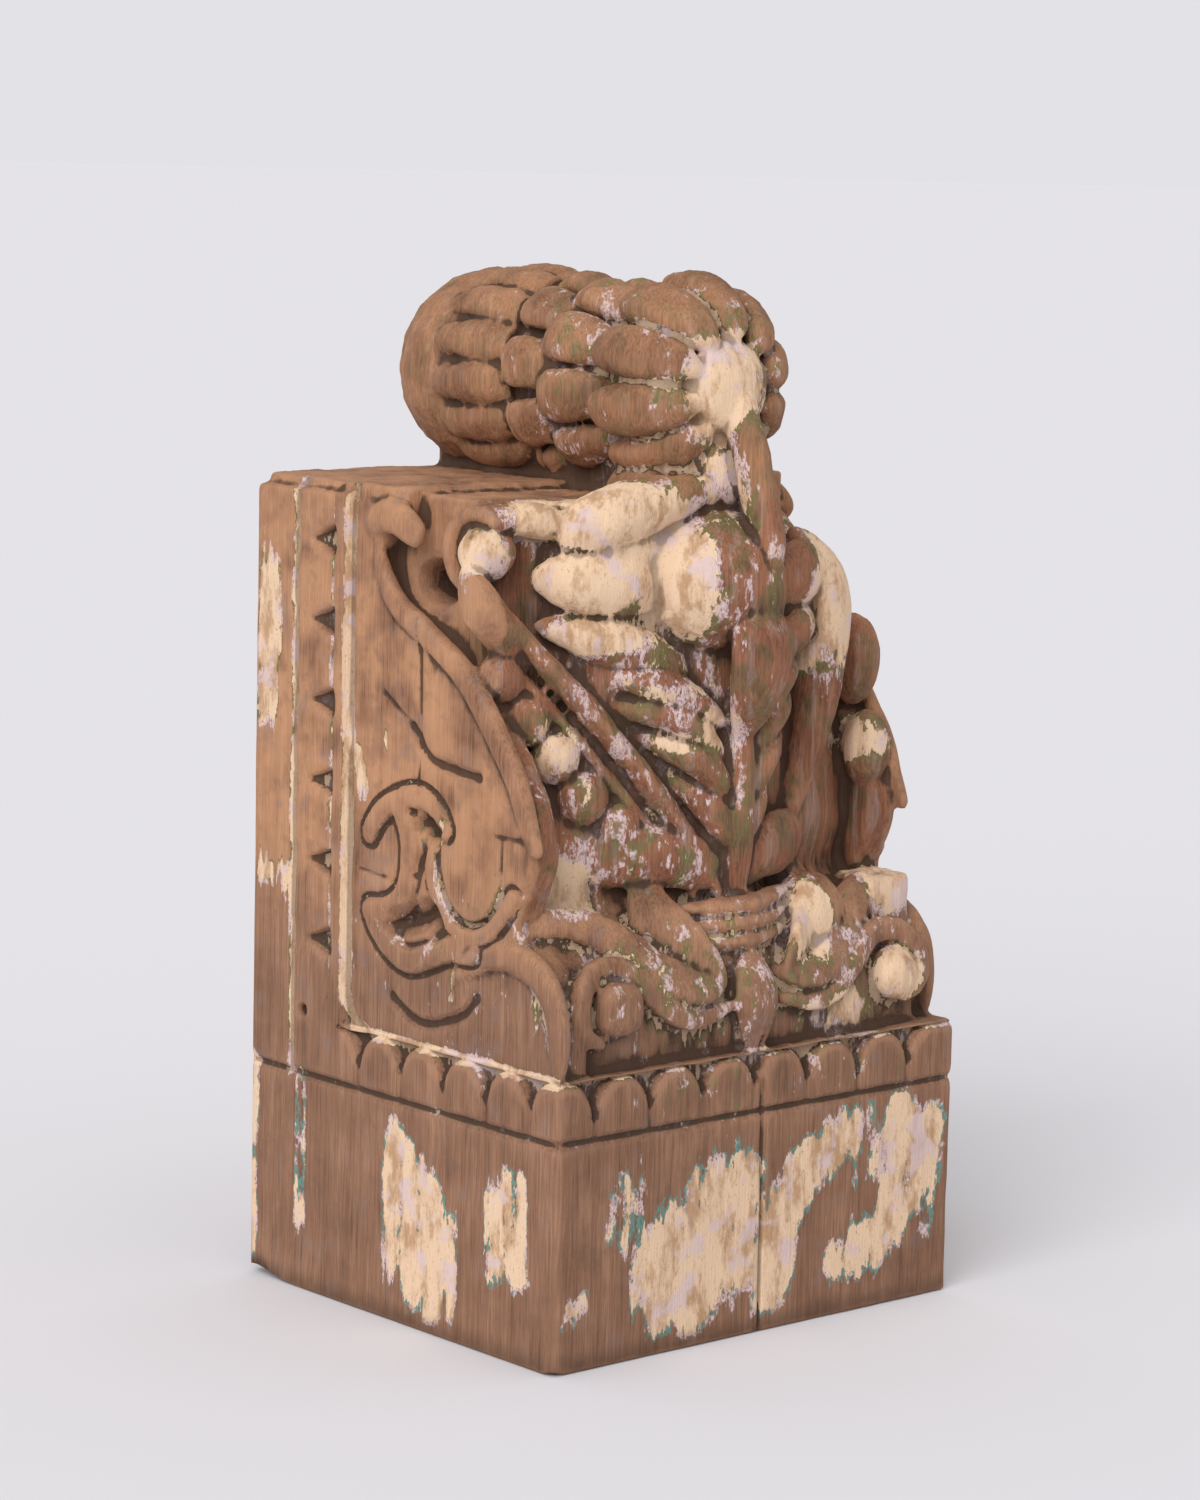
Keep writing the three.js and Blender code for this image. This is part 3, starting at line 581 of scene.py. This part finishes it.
def relieved(mesh):
    # Side faces move in x, the front in y, by their reliefs; then wear: worn edges and an uneven hand-cut skin
    p = meshPoints(mesh)
    edges = meshEdges(mesh)
    p = p + 0.6 * (softened(p, edges, 1) - p)
    n = meshNormals(mesh)
    paint = np.zeros(len(p))
    for side in (-1, 1):
        face = (side * p[:, 0] > 66) & (side * n[:, 0] > 0.35) & (p[:, 2] > 50) & (p[:, 2] < 224)
        setBack = np.where((p[face, 1] < 24) & (p[face, 2] > 78), panel["setBack"] if side > 0 else 0.0, 0.0)
        cut, held = sideRelief(p[face, 1] - setBack * np.clip((24 - p[face, 1]) / 20, 0, 1), p[face, 2], border)
        p[face, 0] += side * cut * ramp(side * n[face, 0], 0.35, 0.8)
        paint[face] = held
    face = (p[:, 1] < -62) & (n[:, 1] < -0.35) & (p[:, 2] < 80)
    cut, held = frontRelief(p[face, 0], p[face, 2], border)
    p[face, 1] -= cut * ramp(-n[face, 1], 0.35, 0.8)
    paint[face] = np.maximum(paint[face], held)
    hole = ramp(-np.hypot((p[:, 1] + 2) / 9.5, (p[:, 2] - 196.5) / 6.5), -1.0, -0.6)
    p[:, 0] += np.where((p[:, 0] < -52) & (p[:, 0] > -67.5) & (n[:, 0] < -0.2), 14 * hole, 0)
    hollow = ((softened(p, edges, 6) - p) * n).sum(1)
    worn = np.clip(-hollow - 0.12, 0, 1)
    free = ramp(p[:, 2], 0.0, 2.0) * ramp(65 - p[:, 1], 0.0, 2.0)
    uneven = (0.28 * patch(p, (11, 11, 16)) + 0.16 * patch(p, (4, 4, 9), 1) + 0.10 * patch(p, (1.6, 1.6, 24), 2))
    carvedSkin = ramp(-p[:, 1], -30, -10) * ramp(p[:, 2], 78, 90) * (np.abs(p[:, 0]) < 67) + ramp(p[:, 2], 219, 224)
    marks = np.abs(patch(p, (3.2, 3.2, 11), 8)) + 0.7 * np.abs(patch(p, (1.7, 1.7, 7), 9))
    uneven = uneven + np.clip(carvedSkin, 0, 1) * (0.20 - 0.42 * marks)
    chip = worn * (0.35 + 0.65 * np.clip(patch(p, (5, 5, 7), 3) + 0.2, 0, 1))
    p = p + n * ((uneven - 0.25) * free - 0.8 * chip)[:, None]
    split = np.abs(p[:, 1] - 16 - 0.10 * (p[:, 2] - 248) - 0.8 * patch(p, (6, 6, 6), 12))
    p = p + n * (np.where(p[:, 2] > 222, vee(split, 1.0, 2.2), 0) * ramp(-p[:, 0], -20, -8))[:, None]
    lost = 3.5 * ramp(p[:, 1], 38, 62) * ramp(-p[:, 0], 52, 71) + 2.0 * ramp(-p[:, 0] - p[:, 1], 130, 136)
    p[:, 2] = np.maximum(p[:, 2], lost * np.clip(0.8 + 0.5 * patch(p, (6, 6, 6), 13), 0, 1.2))
    p[:, 1] = np.clip(p[:, 1], -66, 65)
    p[:, 0] = np.clip(p[:, 0], -72, 72)
    mesh.vertices.foreach_set("co", (p * metre).ravel())
    mesh.update()
    n = meshNormals(mesh)
    near = softened(p, edges, 5)
    far = softened(near, edges, 40)
    fine = ((near - p) * n).sum(1)
    broad = ((far - p) * n).sum(1)
    for name, values in (("cutPaint", paint), ("crease", fine), ("recess", broad)):
        kept = mesh.attributes.new(name, "FLOAT", "POINT")
        kept.data.foreach_set("value", softened(values, edges, 1).astype(np.float32))
    return mesh

def thinned(mesh, name):
    # Collapse keeps the creases and spends few triangles on the flats
    made = bpy.data.objects.new(name, mesh)
    scene.collection.objects.link(made)
    faces = sum(len(poly.vertices) - 2 for poly in mesh.polygons)
    fewer = made.modifiers.new("fewer", "DECIMATE")
    fewer.ratio = fuse["faces"] / faces
    light = evaluated(made)
    made.modifiers.clear()
    made.data = light
    light.name = name
    light.polygons.foreach_set("use_smooth", np.ones(len(light.polygons), bool))
    light.update()
    return made

dense = relieved(fused(carving))
print("fused and relieved:", len(dense.vertices))
corbel = thinned(dense, "carvedCorbel")
print("thinned:", len(corbel.data.polygons))

# What is left of the paint, as weights on the points: places on the leaf, the bud and the plinth
creamPlaces = [
    ((-5, -50, 222), (9, 9, 14), 0.6),
    ((-5, -46, 248), (16, 10, 16), 0.95),
    (onFacet(-1, 36, 215), (26, 18, 10), 1.0),
    ((-20, -46, 199), (12, 14, 20), 0.95),
    (onFacet(-1, 44, 199), (20, 12, 10), 1.0),
    (onFacet(-1, 40, 185), (20, 11, 6), 0.85),
    ((-66, -24, 206), (8, 8, 8), 1.1),
    ((-52, -29, 215), (12, 10, 8), 0.9),
    (onFacet(-1, 55, 155), (10, 9, 11), 0.62),
    (onFacet(-1, 22, 170), (20, 9, 4), 0.62),
    (onFacet(-1, 16, 157), (14, 9, 4), 0.6),
    (onFacet(-1, 53, 116), (13, 14, 13), 1.0),
    (onFacet(1, 42, 192), (14, 16, 26), 0.95),
    ((61, -35, 150), (9, 9, 8), 0.8),
    ((20, -56, 107), (10, 12, 14), 0.85),
    ((58, -46, 112), (12, 12, 9), 0.9),
    ((52, -62, 90), (9, 8, 9), 0.9),
    ((36, -62, 82), (26, 6, 8), 0.68),
    ((-8, -52, 160), (9, 8, 8), 0.7),
    ((-2, -58, 200), (16, 8, 14), 0.36),
]
fleckPlaces = [
    ((-25, -45, 165), (50, 25, 62), 0.36),
    ((0, -55, 95), (72, 18, 24), 0.36),
    ((0, -10, 248), (34, 62, 34), 0.37),
    ((0, -62, 68), (72, 8, 9), 0.3),
    ((-68, -20, 100), (8, 48, 30), 0.24),
]
paintStrokes = [
    ("front", [(-36, 15), (-33, 30)], 10, 0.8),
    ("front", [(-22, 14), (-19, 40)], 10, 0.82),
    ("front", [(-8, 18), (-6, 44)], 7, 0.74),
    ("front", [(-50, 34), (-46, 46)], 5, 0.55),
    ("front", [(4, 12), (6, 30), (14, 40), (30, 50)], 7.5, 0.86),
    ("front", [(31, 15), (44, 19), (55, 31), (61, 45), (52, 51), (46, 40)], 7, 0.84),
    ("front", [(-66, 14), (-62, 18)], 3, 0.75),
    ("left", [(1, 51), (1, 18)], 4.5, 0.78),
    ("left", [(-7, 45), (-8, 12)], 5.0, 0.86),
    ("left", [(-15, 38), (-15, 9)], 5.0, 0.88),
    ("left", [(-22, 30), (-22, 10)], 4, 0.82),
    ("left", [(-40, 44), (-41, 22)], 4, 0.82),
    ("left", [(-49, 47), (-49, 24)], 4.2, 0.82),
    ("left", [(42, 18), (42, 60)], 2.5, 0.6),
    ("left", [(59, 158), (58, 196)], 5, 0.74),
    ("left", [(50, 113), (60, 113)], 2.6, 0.9),
    ("left", [(9, 152), (9, 157)], 2.0, 0.95),
    ("left", [(19, 141), (22, 150)], 2.8, 0.85),
    ("left", [(64, 6), (64, 60)], 3, 0.72),
    ("left", [(4, 12), (5, 21)], 2.2, 0.42),
    ("front", [(62, 20), (66, 52)], 4, 0.42),
    ("front", [(36, 36), (40, 54)], 4, 0.42),
]

def within(offset, radii):
    # One inside an oval of these radii, falling to nothing a little outside it
    return ramp(-np.sqrt(((offset / np.asarray(radii, float)) ** 2).sum(1)), -1.4, -0.5)

def paintWeights(obj):
    # Paint stays where it was thick and sheltered; high places are rubbed down to red wood
    mesh = obj.data
    p, n = meshPoints(mesh), meshNormals(mesh)
    held = {}
    for name in ("cutPaint", "crease"):
        flat = np.empty(len(p), np.float32)
        mesh.attributes[name].data.foreach_get("value", flat)
        held[name] = flat.astype(float)
    cream = held["cutPaint"]
    ragged = 0.24 * patch(p, (7, 7, 9), 5) - 0.9 * np.clip(held["crease"] - 0.05, 0, 0.3)
    for centre, radii, weight in creamPlaces:
        inside = within(p - np.asarray(centre), radii)
        cream = np.maximum(cream, weight * inside + ragged * (weight > 0.5) * inside)
    for centre, radii, weight in fleckPlaces:
        cream = np.maximum(cream, weight * within(p - np.asarray(centre), radii))
    flatFront = (p[:, 1] < -62) & (p[:, 2] < 60)
    flatLeft = p[:, 0] < -68
    streak = 0.26 * patch(p, (1.7, 1.7, 34), 6) + 0.14 * patch(p, (6, 6, 9), 7)
    for face, line, half, weight in paintStrokes:
        here = flatFront if face == "front" else flatLeft
        d = lineDistance(p[:, 0 if face == "front" else 1], p[:, 2], line)
        inside = ramp(half - d, -0.45 * half, 0.35 * half)
        cream = np.where(here, np.maximum(cream, (weight + streak) * inside), cream)
    budFront = ramp(-p[:, 1], 0, 20) * ramp(p[:, 2], 218, 226)
    cream = np.maximum(cream, budFront * ramp(held["crease"], 0.02, 0.3) * 0.85)
    footFront = ramp(-p[:, 1], 34, 44) * ramp(p[:, 2], 76, 80) * ramp(-p[:, 2], -124, -112)
    cream = np.maximum(cream, footFront * ramp(held["crease"], 0.02, 0.2) * 0.56)
    leaf = ramp(-p[:, 1], 10, 20) * ramp(p[:, 2], 112, 120) * (np.abs(p[:, 0]) < 66)
    red = np.maximum(leaf, 0.8 * ramp(p[:, 2], 219, 226))
    for name, values in (("cream", cream), ("red", red)):
        kept = mesh.attributes.new(name, "FLOAT", "POINT")
        kept.data.foreach_set("value", values.astype(np.float32))
    mesh.attributes.remove(mesh.attributes["cutPaint"])

paintWeights(corbel)
print("paint weighed")

def srgb(code):
    # Hex colour to linear light
    raw = np.array([int(code[i:i + 2], 16) for i in (1, 3, 5)]) / 255
    return (*np.where(raw <= 0.04045, raw / 12.92, ((raw + 0.055) / 1.055) ** 2.4), 1.0)

def node(tree, kind, links=(), **settings):
    # Adds one node; links are (socket, value or source) pairs
    made = tree.nodes.new(kind)
    for key, value in settings.items():
        setattr(made, key, value)
    for socket, source in links:
        if isinstance(source, bpy.types.NodeSocket):
            tree.links.new(source, made.inputs[socket])
        else:
            made.inputs[socket].default_value = source
    return made

# Old carved hardwood, once painted: coarse upright grain, paint left in flakes with olive and violet
# undercoats at their edges, brown dirt and painted shade in the hollows, a painted highlight on worn edges and a
# dull, dry skin
wood = {
    "grains": {
        "fibre": (0.55, 16.0, 3.0, 0.55), "band": (3.2, 90.0, 2.0, 0.55), "blotch": (17.0, 17.0, 3.0, 0.55),
        "crumb": (0.7, 1.05, 2.0, 0.55), "flake": (6.0, 16.0, 5.0, 0.68), "under": (9.0, 9.0, 3.0, 0.55),
        "chipped": (1.3, 3.25, 3.0, 0.6),
    },                             # millimetres across and along the grain, detail, roughness of the noise
    "dark": "#6d4936", "mid": "#956a50", "light": "#b3876a", "rubbed": "#8c573f", "aged": "#6f5546",
    # the dirt colour also serves for dark fibres, the painted shade in creases and hollows and the darkening along
    # the bottom
    "warm": "#c18f6a", "mossy": "#69563a", "mauve": "#85706a", "budTone": "#9a7150", "dirtAndShade": "#3f2d22",
    "cream": "#e2c3a4", "creamDirty": "#ab825e", "violet": "#d3bcbd", "olive": "#6d6a42", "teal": "#5f8d86",
    "rough": 0.78,
}

def carvedWood(w):
    # Noise stretched along the grain at real sizes, layered into timber, paint, dirt with painted shade and
    # highlight, and bump
    made = bpy.data.materials.new("worn painted hardwood")
    made.use_nodes = True
    t = made.node_tree
    t.nodes.clear()
    maths, mix, span = "ShaderNodeMath", "ShaderNodeMix", "ShaderNodeMapRange"
    colour, smooth = {"data_type": "RGBA"}, {"interpolation_type": "SMOOTHSTEP"}
    place = node(t, "ShaderNodeTexCoord").outputs["Object"]
    noise = {}
    for name, (wide, long, detail, rough) in w["grains"].items():
        scale = (1000 / wide, 1000 / wide, 1000 / long)
        scaled = node(t, "ShaderNodeMapping", [("Vector", place), ("Scale", scale)]).outputs[0]
        noise[name] = node(t, "ShaderNodeTexNoise", [
            ("Vector", scaled), ("Scale", 1.0), ("Detail", detail), ("Roughness", rough),
        ]).outputs["Fac"]
    fibre, band, blotch, crumb, flake, under, chipped = noise.values()
    # Grain: fibres, wider bands and blotches added up run from dark to light
    tone = node(t, maths, [
        (0, fibre),
        (1, 1.0),
        (2, node(t, maths, [
            (0, band),
            (1, 0.5),
            (2, node(t, maths, [(0, blotch), (1, 0.6)], operation="MULTIPLY").outputs[0]),
        ], operation="MULTIPLY_ADD").outputs[0]),
    ], operation="MULTIPLY_ADD").outputs[0]
    timber = node(t, mix, [
        (0, node(t, span, [(0, tone), (1, 0.72), (2, 1.02)], **smooth).outputs[0]),
        (6, srgb(w["dark"])),
        (7, srgb(w["mid"])),
    ], **colour).outputs[2]
    timber = node(t, mix, [
        (0, node(t, span, [(0, tone), (1, 1.0), (2, 1.34)], **smooth).outputs[0]),
        (6, timber),
        (7, srgb(w["light"])),
    ], **colour).outputs[2]
    # Darker and greyer towards the plinth, warmer above it, with mauve and aged clouds
    low = node(t, "ShaderNodeSeparateXYZ", [(0, place)]).outputs[2]
    upper = node(t, span, [(0, low), (1, 0.085), (2, 0.135)], **smooth).outputs[0]
    aged = node(t, mix, [
        (0, node(t, maths, [(0, upper), (1, -0.32), (2, 0.4)], operation="MULTIPLY_ADD").outputs[0]),
        (6, timber),
        (7, srgb(w["aged"])),
    ], **colour).outputs[2]
    timber = node(t, mix, [
        (0, node(t, maths, [
            (0, upper),
            (1, node(t, maths, [
                (0, node(t, span, [(0, blotch), (1, 0.3), (2, 0.62)], **smooth).outputs[0]),
                (1, 0.7),
            ], operation="MULTIPLY").outputs[0]),
        ], operation="MULTIPLY").outputs[0]),
        (6, aged),
        (7, srgb(w["warm"])),
    ], **colour).outputs[2]
    timber = node(t, mix, [
        (0, node(t, maths, [
            (0, node(t, span, [(0, under), (1, 0.55), (2, 0.68)], **smooth).outputs[0]),
            (1, 0.35),
        ], operation="MULTIPLY").outputs[0]),
        (6, timber),
        (7, srgb(w["mauve"])),
    ], **colour).outputs[2]
    timber = node(t, mix, [
        (0, node(t, maths, [
            (0, node(t, span, [(0, under), (1, 0.44), (2, 0.33)], **smooth).outputs[0]),
            (1, 0.3),
        ], operation="MULTIPLY").outputs[0]),
        (6, timber),
        (7, srgb(w["aged"])),
    ], **colour).outputs[2]
    timber = node(t, mix, [
        (0, node(t, maths, [
            (0, node(t, span, [(0, fibre), (1, 0.6), (2, 0.72)], **smooth).outputs[0]),
            (1, 0.35),
        ], operation="MULTIPLY").outputs[0]),
        (6, timber),
        (7, srgb(w["dirtAndShade"])),
    ], **colour).outputs[2]
    # The leaf and the bud: mossy, rubbed red and mauve stains
    crease = node(t, "ShaderNodeAttribute", attribute_name="crease").outputs["Fac"]
    recess = node(t, "ShaderNodeAttribute", attribute_name="recess").outputs["Fac"]
    cream = node(t, "ShaderNodeAttribute", attribute_name="cream").outputs["Fac"]
    red = node(t, "ShaderNodeAttribute", attribute_name="red").outputs["Fac"]
    stain = node(t, mix, [
        (0, node(t, span, [(0, under), (1, 0.4), (2, 0.52)], **smooth).outputs[0]),
        (6, srgb(w["mossy"])),
        (7, srgb(w["rubbed"])),
    ], **colour).outputs[2]
    stain = node(t, mix, [
        (0, node(t, maths, [
            (0, node(t, span, [(0, band), (1, 0.55), (2, 0.65)], **smooth).outputs[0]),
            (1, 0.8),
        ], operation="MULTIPLY").outputs[0]),
        (6, stain),
        (7, srgb(w["mauve"])),
    ], **colour).outputs[2]
    stain = node(t, mix, [
        (0, node(t, maths, [
            (0, node(t, span, [(0, low), (1, 0.214), (2, 0.226)], **smooth).outputs[0]),
            (1, 0.6),
        ], operation="MULTIPLY").outputs[0]),
        (6, stain),
        (7, srgb(w["budTone"])),
    ], **colour).outputs[2]
    timber = node(t, mix, [
        (0, node(t, maths, [(0, red), (1, 0.7)], operation="MULTIPLY").outputs[0]),
        (6, timber),
        (7, stain),
    ], **colour).outputs[2]
    shade = node(t, "ShaderNodeMapRange", [
        ("Value", tone), ("From Min", 0.8), ("From Max", 1.3), ("To Min", 0.5), ("To Max", 1.2),
    ])
    timber = node(t, mix, [
        (0, node(t, maths, [(0, red), (1, 0.6), (2, 0.2)], operation="MULTIPLY_ADD").outputs[0]),
        (6, timber),
        (7, shade.outputs[0]),
    ], **colour, blend_type="MULTIPLY").outputs[2]
    # Paint: the weight on the points, broken up by flakes and chips; undercoats show at its edge
    spread = node(t, maths, [
        (0, cream),
        (1, node(t, maths, [
            (0, flake),
            (1, 1.25),
            (2, node(t, maths, [(0, chipped), (1, 0.6), (2, -0.93)], operation="MULTIPLY_ADD").outputs[0]),
        ], operation="MULTIPLY_ADD").outputs[0]),
    ], operation="ADD").outputs[0]
    painted = node(t, span, [(0, spread), (1, 0.5), (2, 0.55)], **smooth).outputs[0]
    fringe = node(t, maths, [
        (0, node(t, span, [(0, spread), (1, 0.33), (2, 0.44)], **smooth).outputs[0]),
        (1, node(t, maths, [(0, 1.0), (1, painted)], operation="SUBTRACT").outputs[0]),
    ], operation="MULTIPLY").outputs[0]
    cool = node(t, mix, [
        (0, node(t, span, [(0, low), (1, 0.055), (2, 0.062)], **smooth).outputs[0]),
        (6, srgb(w["teal"])),
        (7, srgb(w["olive"])),
    ], **colour).outputs[2]
    trace = node(t, mix, [
        (0, node(t, span, [(0, under), (1, 0.48), (2, 0.54)], **smooth).outputs[0]),
        (6, cool),
        (7, srgb(w["violet"])),
    ], **colour).outputs[2]
    timber = node(t, mix, [
        (0, node(t, maths, [
            (0, fringe),
            (1, node(t, span, [(0, crumb), (1, 0.3), (2, 0.55)], **smooth).outputs[0]),
        ], operation="MULTIPLY").outputs[0]),
        (6, timber),
        (7, trace),
    ], **colour).outputs[2]
    # Cream coat, dirty in its thin places
    coat = node(t, mix, [
        (0, node(t, span, [(0, crumb), (1, 0.16), (2, 0.42)], **smooth).outputs[0]),
        (6, srgb(w["creamDirty"])),
        (7, srgb(w["cream"])),
    ], **colour).outputs[2]
    coat = node(t, mix, [
        (0, node(t, maths, [
            (0, node(t, span, [(0, flake), (1, 0.55), (2, 0.38)], **smooth).outputs[0]),
            (1, 0.8),
        ], operation="MULTIPLY").outputs[0]),
        (6, coat),
        (7, srgb(w["creamDirty"])),
    ], **colour).outputs[2]
    coat = node(t, mix, [
        (0, node(t, maths, [
            (0, node(t, span, [(0, under), (1, 0.54), (2, 0.64)], **smooth).outputs[0]),
            (1, 0.75),
        ], operation="MULTIPLY").outputs[0]),
        (6, coat),
        (7, srgb(w["violet"])),
    ], **colour).outputs[2]
    surface = node(t, mix, [(0, painted), (6, timber), (7, coat)], **colour).outputs[2]
    # Dirt and painted shade in creases, painted shade in hollows, darker along the bottom; rubbed edges lighter,
    # partly wear and partly a painted highlight
    # The crease term is dirt and painted shade in the creases; the broad recess term is painted shade in the hollows
    hollowDirtAndShade = node(t, maths, [
        (0, node(t, span, [
            (0, node(t, maths, [(0, crumb), (1, 0.1), (2, crease)], operation="MULTIPLY_ADD").outputs[0]),
            (1, 0.11),
            (2, 0.28),
        ], **smooth).outputs[0]),
        (1, node(t, maths, [
            (0, node(t, span, [(0, recess), (1, 0.08), (2, 1.5)], **smooth).outputs[0]),
            (1, 0.85),
        ], operation="MULTIPLY").outputs[0]),
    ], operation="ADD").outputs[0]
    # Dirt and painted shade together, less of it on the paint
    dirtAndShadeMask = node(t, maths, [
        (0, node(t, maths, [(0, hollowDirtAndShade), (1, 1.0)], operation="MINIMUM").outputs[0]),
        (1, node(t, maths, [(0, painted), (1, -0.35), (2, 0.88)], operation="MULTIPLY_ADD").outputs[0]),
    ], operation="MULTIPLY").outputs[0]
    surface = node(t, mix, [(0, dirtAndShadeMask), (6, surface), (7, srgb(w["dirtAndShade"]))], **colour).outputs[2]
    # Darker towards the bottom, over the lowest seven millimetres
    surface = node(t, mix, [
        (0, node(t, maths, [
            (0, node(t, span, [(0, low), (1, 0.007), (2, 0.0)], **smooth).outputs[0]),
            (1, 0.55),
        ], operation="MULTIPLY").outputs[0]),
        (6, surface),
        (7, srgb(w["dirtAndShade"])),
    ], **colour).outputs[2]
    # Convex edges lighter: partly rubbed wear, partly a painted highlight
    rubbedEdgeAndHighlight = node(t, maths, [
        (0, node(t, span, [
            (0, node(t, maths, [(0, crease), (1, -1.0)], operation="MULTIPLY").outputs[0]),
            (1, 0.06),
            (2, 0.3),
        ], **smooth).outputs[0]),
        (1, 0.35),
    ], operation="MULTIPLY").outputs[0]
    surface = node(t, mix, [(0, rubbedEdgeAndHighlight), (6, surface), (7, srgb(w["light"]))], **colour).outputs[2]
    # Fibres, paint and crumbs stand proud for the bump
    height = node(t, maths, [
        (0, fibre),
        (1, 0.55),
        (2, node(t, maths, [
            (0, painted),
            (1, 0.5),
            (2, node(t, maths, [(0, crumb), (1, 0.3)], operation="MULTIPLY").outputs[0]),
        ], operation="MULTIPLY_ADD").outputs[0]),
    ], operation="MULTIPLY_ADD").outputs[0]
    bump = node(t, "ShaderNodeBump", [("Strength", 0.7), ("Distance", 0.0006), ("Height", height)])
    skin = node(t, "ShaderNodeBsdfPrincipled", [
        ("Base Color", surface), ("Roughness", w["rough"]), ("Specular IOR Level", 0.3), ("Normal", bump.outputs[0]),
    ])
    node(t, "ShaderNodeOutputMaterial", [("Surface", skin.outputs[0])])
    return made

corbel.data.materials.clear()
corbel.data.materials.append(carvedWood(wood))
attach(corbel, "root")
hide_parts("corbel")
print("corbel finished")

# Studio: one pale sweep of floor, a high-key sky and a broad soft light from the left
studio = {"paper": "#e3e2e7", "skyLight": 0.68, "keyLight": 0.34, "keyFrom": (-0.75, -0.36, 0.56), "keySoft": 45.0}

def floorDisc():
    # Rings of growing radius on the ground plane
    radius = np.linspace(0, 1, 12)[:, None] ** 1.5 * 40.0 + 1e-4
    turn = np.linspace(0, 2 * np.pi, 64, endpoint=False)[None, :]
    points = np.stack([radius * np.cos(turn), radius * np.sin(turn), np.zeros((12, 64))], -1).reshape(-1, 3)
    r, a = np.meshgrid(np.arange(11), np.arange(64), indexing="ij")
    b = (a + 1) % 64
    quads = np.stack([r * 64 + a, (r + 1) * 64 + a, (r + 1) * 64 + b, r * 64 + b], -1).reshape(-1, 4)
    made = bpy.data.meshes.new("floor")
    made.from_pydata(points.tolist(), [], quads.tolist())
    made.update()
    return made

floor = bpy.data.objects.new("floor", floorDisc())
scene.collection.objects.link(floor)
paper = bpy.data.materials.new("matt studio paper")
paper.use_nodes = True
sheet = paper.node_tree.nodes["Principled BSDF"]
sheet.inputs["Base Color"].default_value = srgb(studio["paper"])
sheet.inputs["Roughness"].default_value = 0.95
sheet.inputs["Specular IOR Level"].default_value = 0.1
floor.data.materials.append(paper)

sky = bpy.data.worlds.new("studio sky")
scene.world = sky
sky.use_nodes = True
sky.node_tree.nodes.clear()
seen = node(sky.node_tree, "ShaderNodeBackground", [("Color", srgb(studio["paper"])), ("Strength", 1.0)])
lit = node(sky.node_tree, "ShaderNodeBackground", [("Color", (1, 0.99, 0.98, 1)), ("Strength", studio["skyLight"])])
ray = node(sky.node_tree, "ShaderNodeLightPath")
both = node(sky.node_tree, "ShaderNodeMixShader", [
    (0, ray.outputs["Is Camera Ray"]), (1, lit.outputs[0]), (2, seen.outputs[0]),
])
node(sky.node_tree, "ShaderNodeOutputWorld", [("Surface", both.outputs[0])])

lamp = bpy.data.lights.new("key", "SUN")
lamp.energy = studio["keyLight"] * np.pi / studio["keyFrom"][2]
lamp.angle = np.radians(studio["keySoft"])
stand = bpy.data.objects.new("key", lamp)
stand.matrix_world = (-Vector(studio["keyFrom"])).to_track_quat("-Z", "Y").to_matrix().to_4x4()
scene.collection.objects.link(stand)
scene.view_settings.view_transform = "Standard"
print("studio lit")
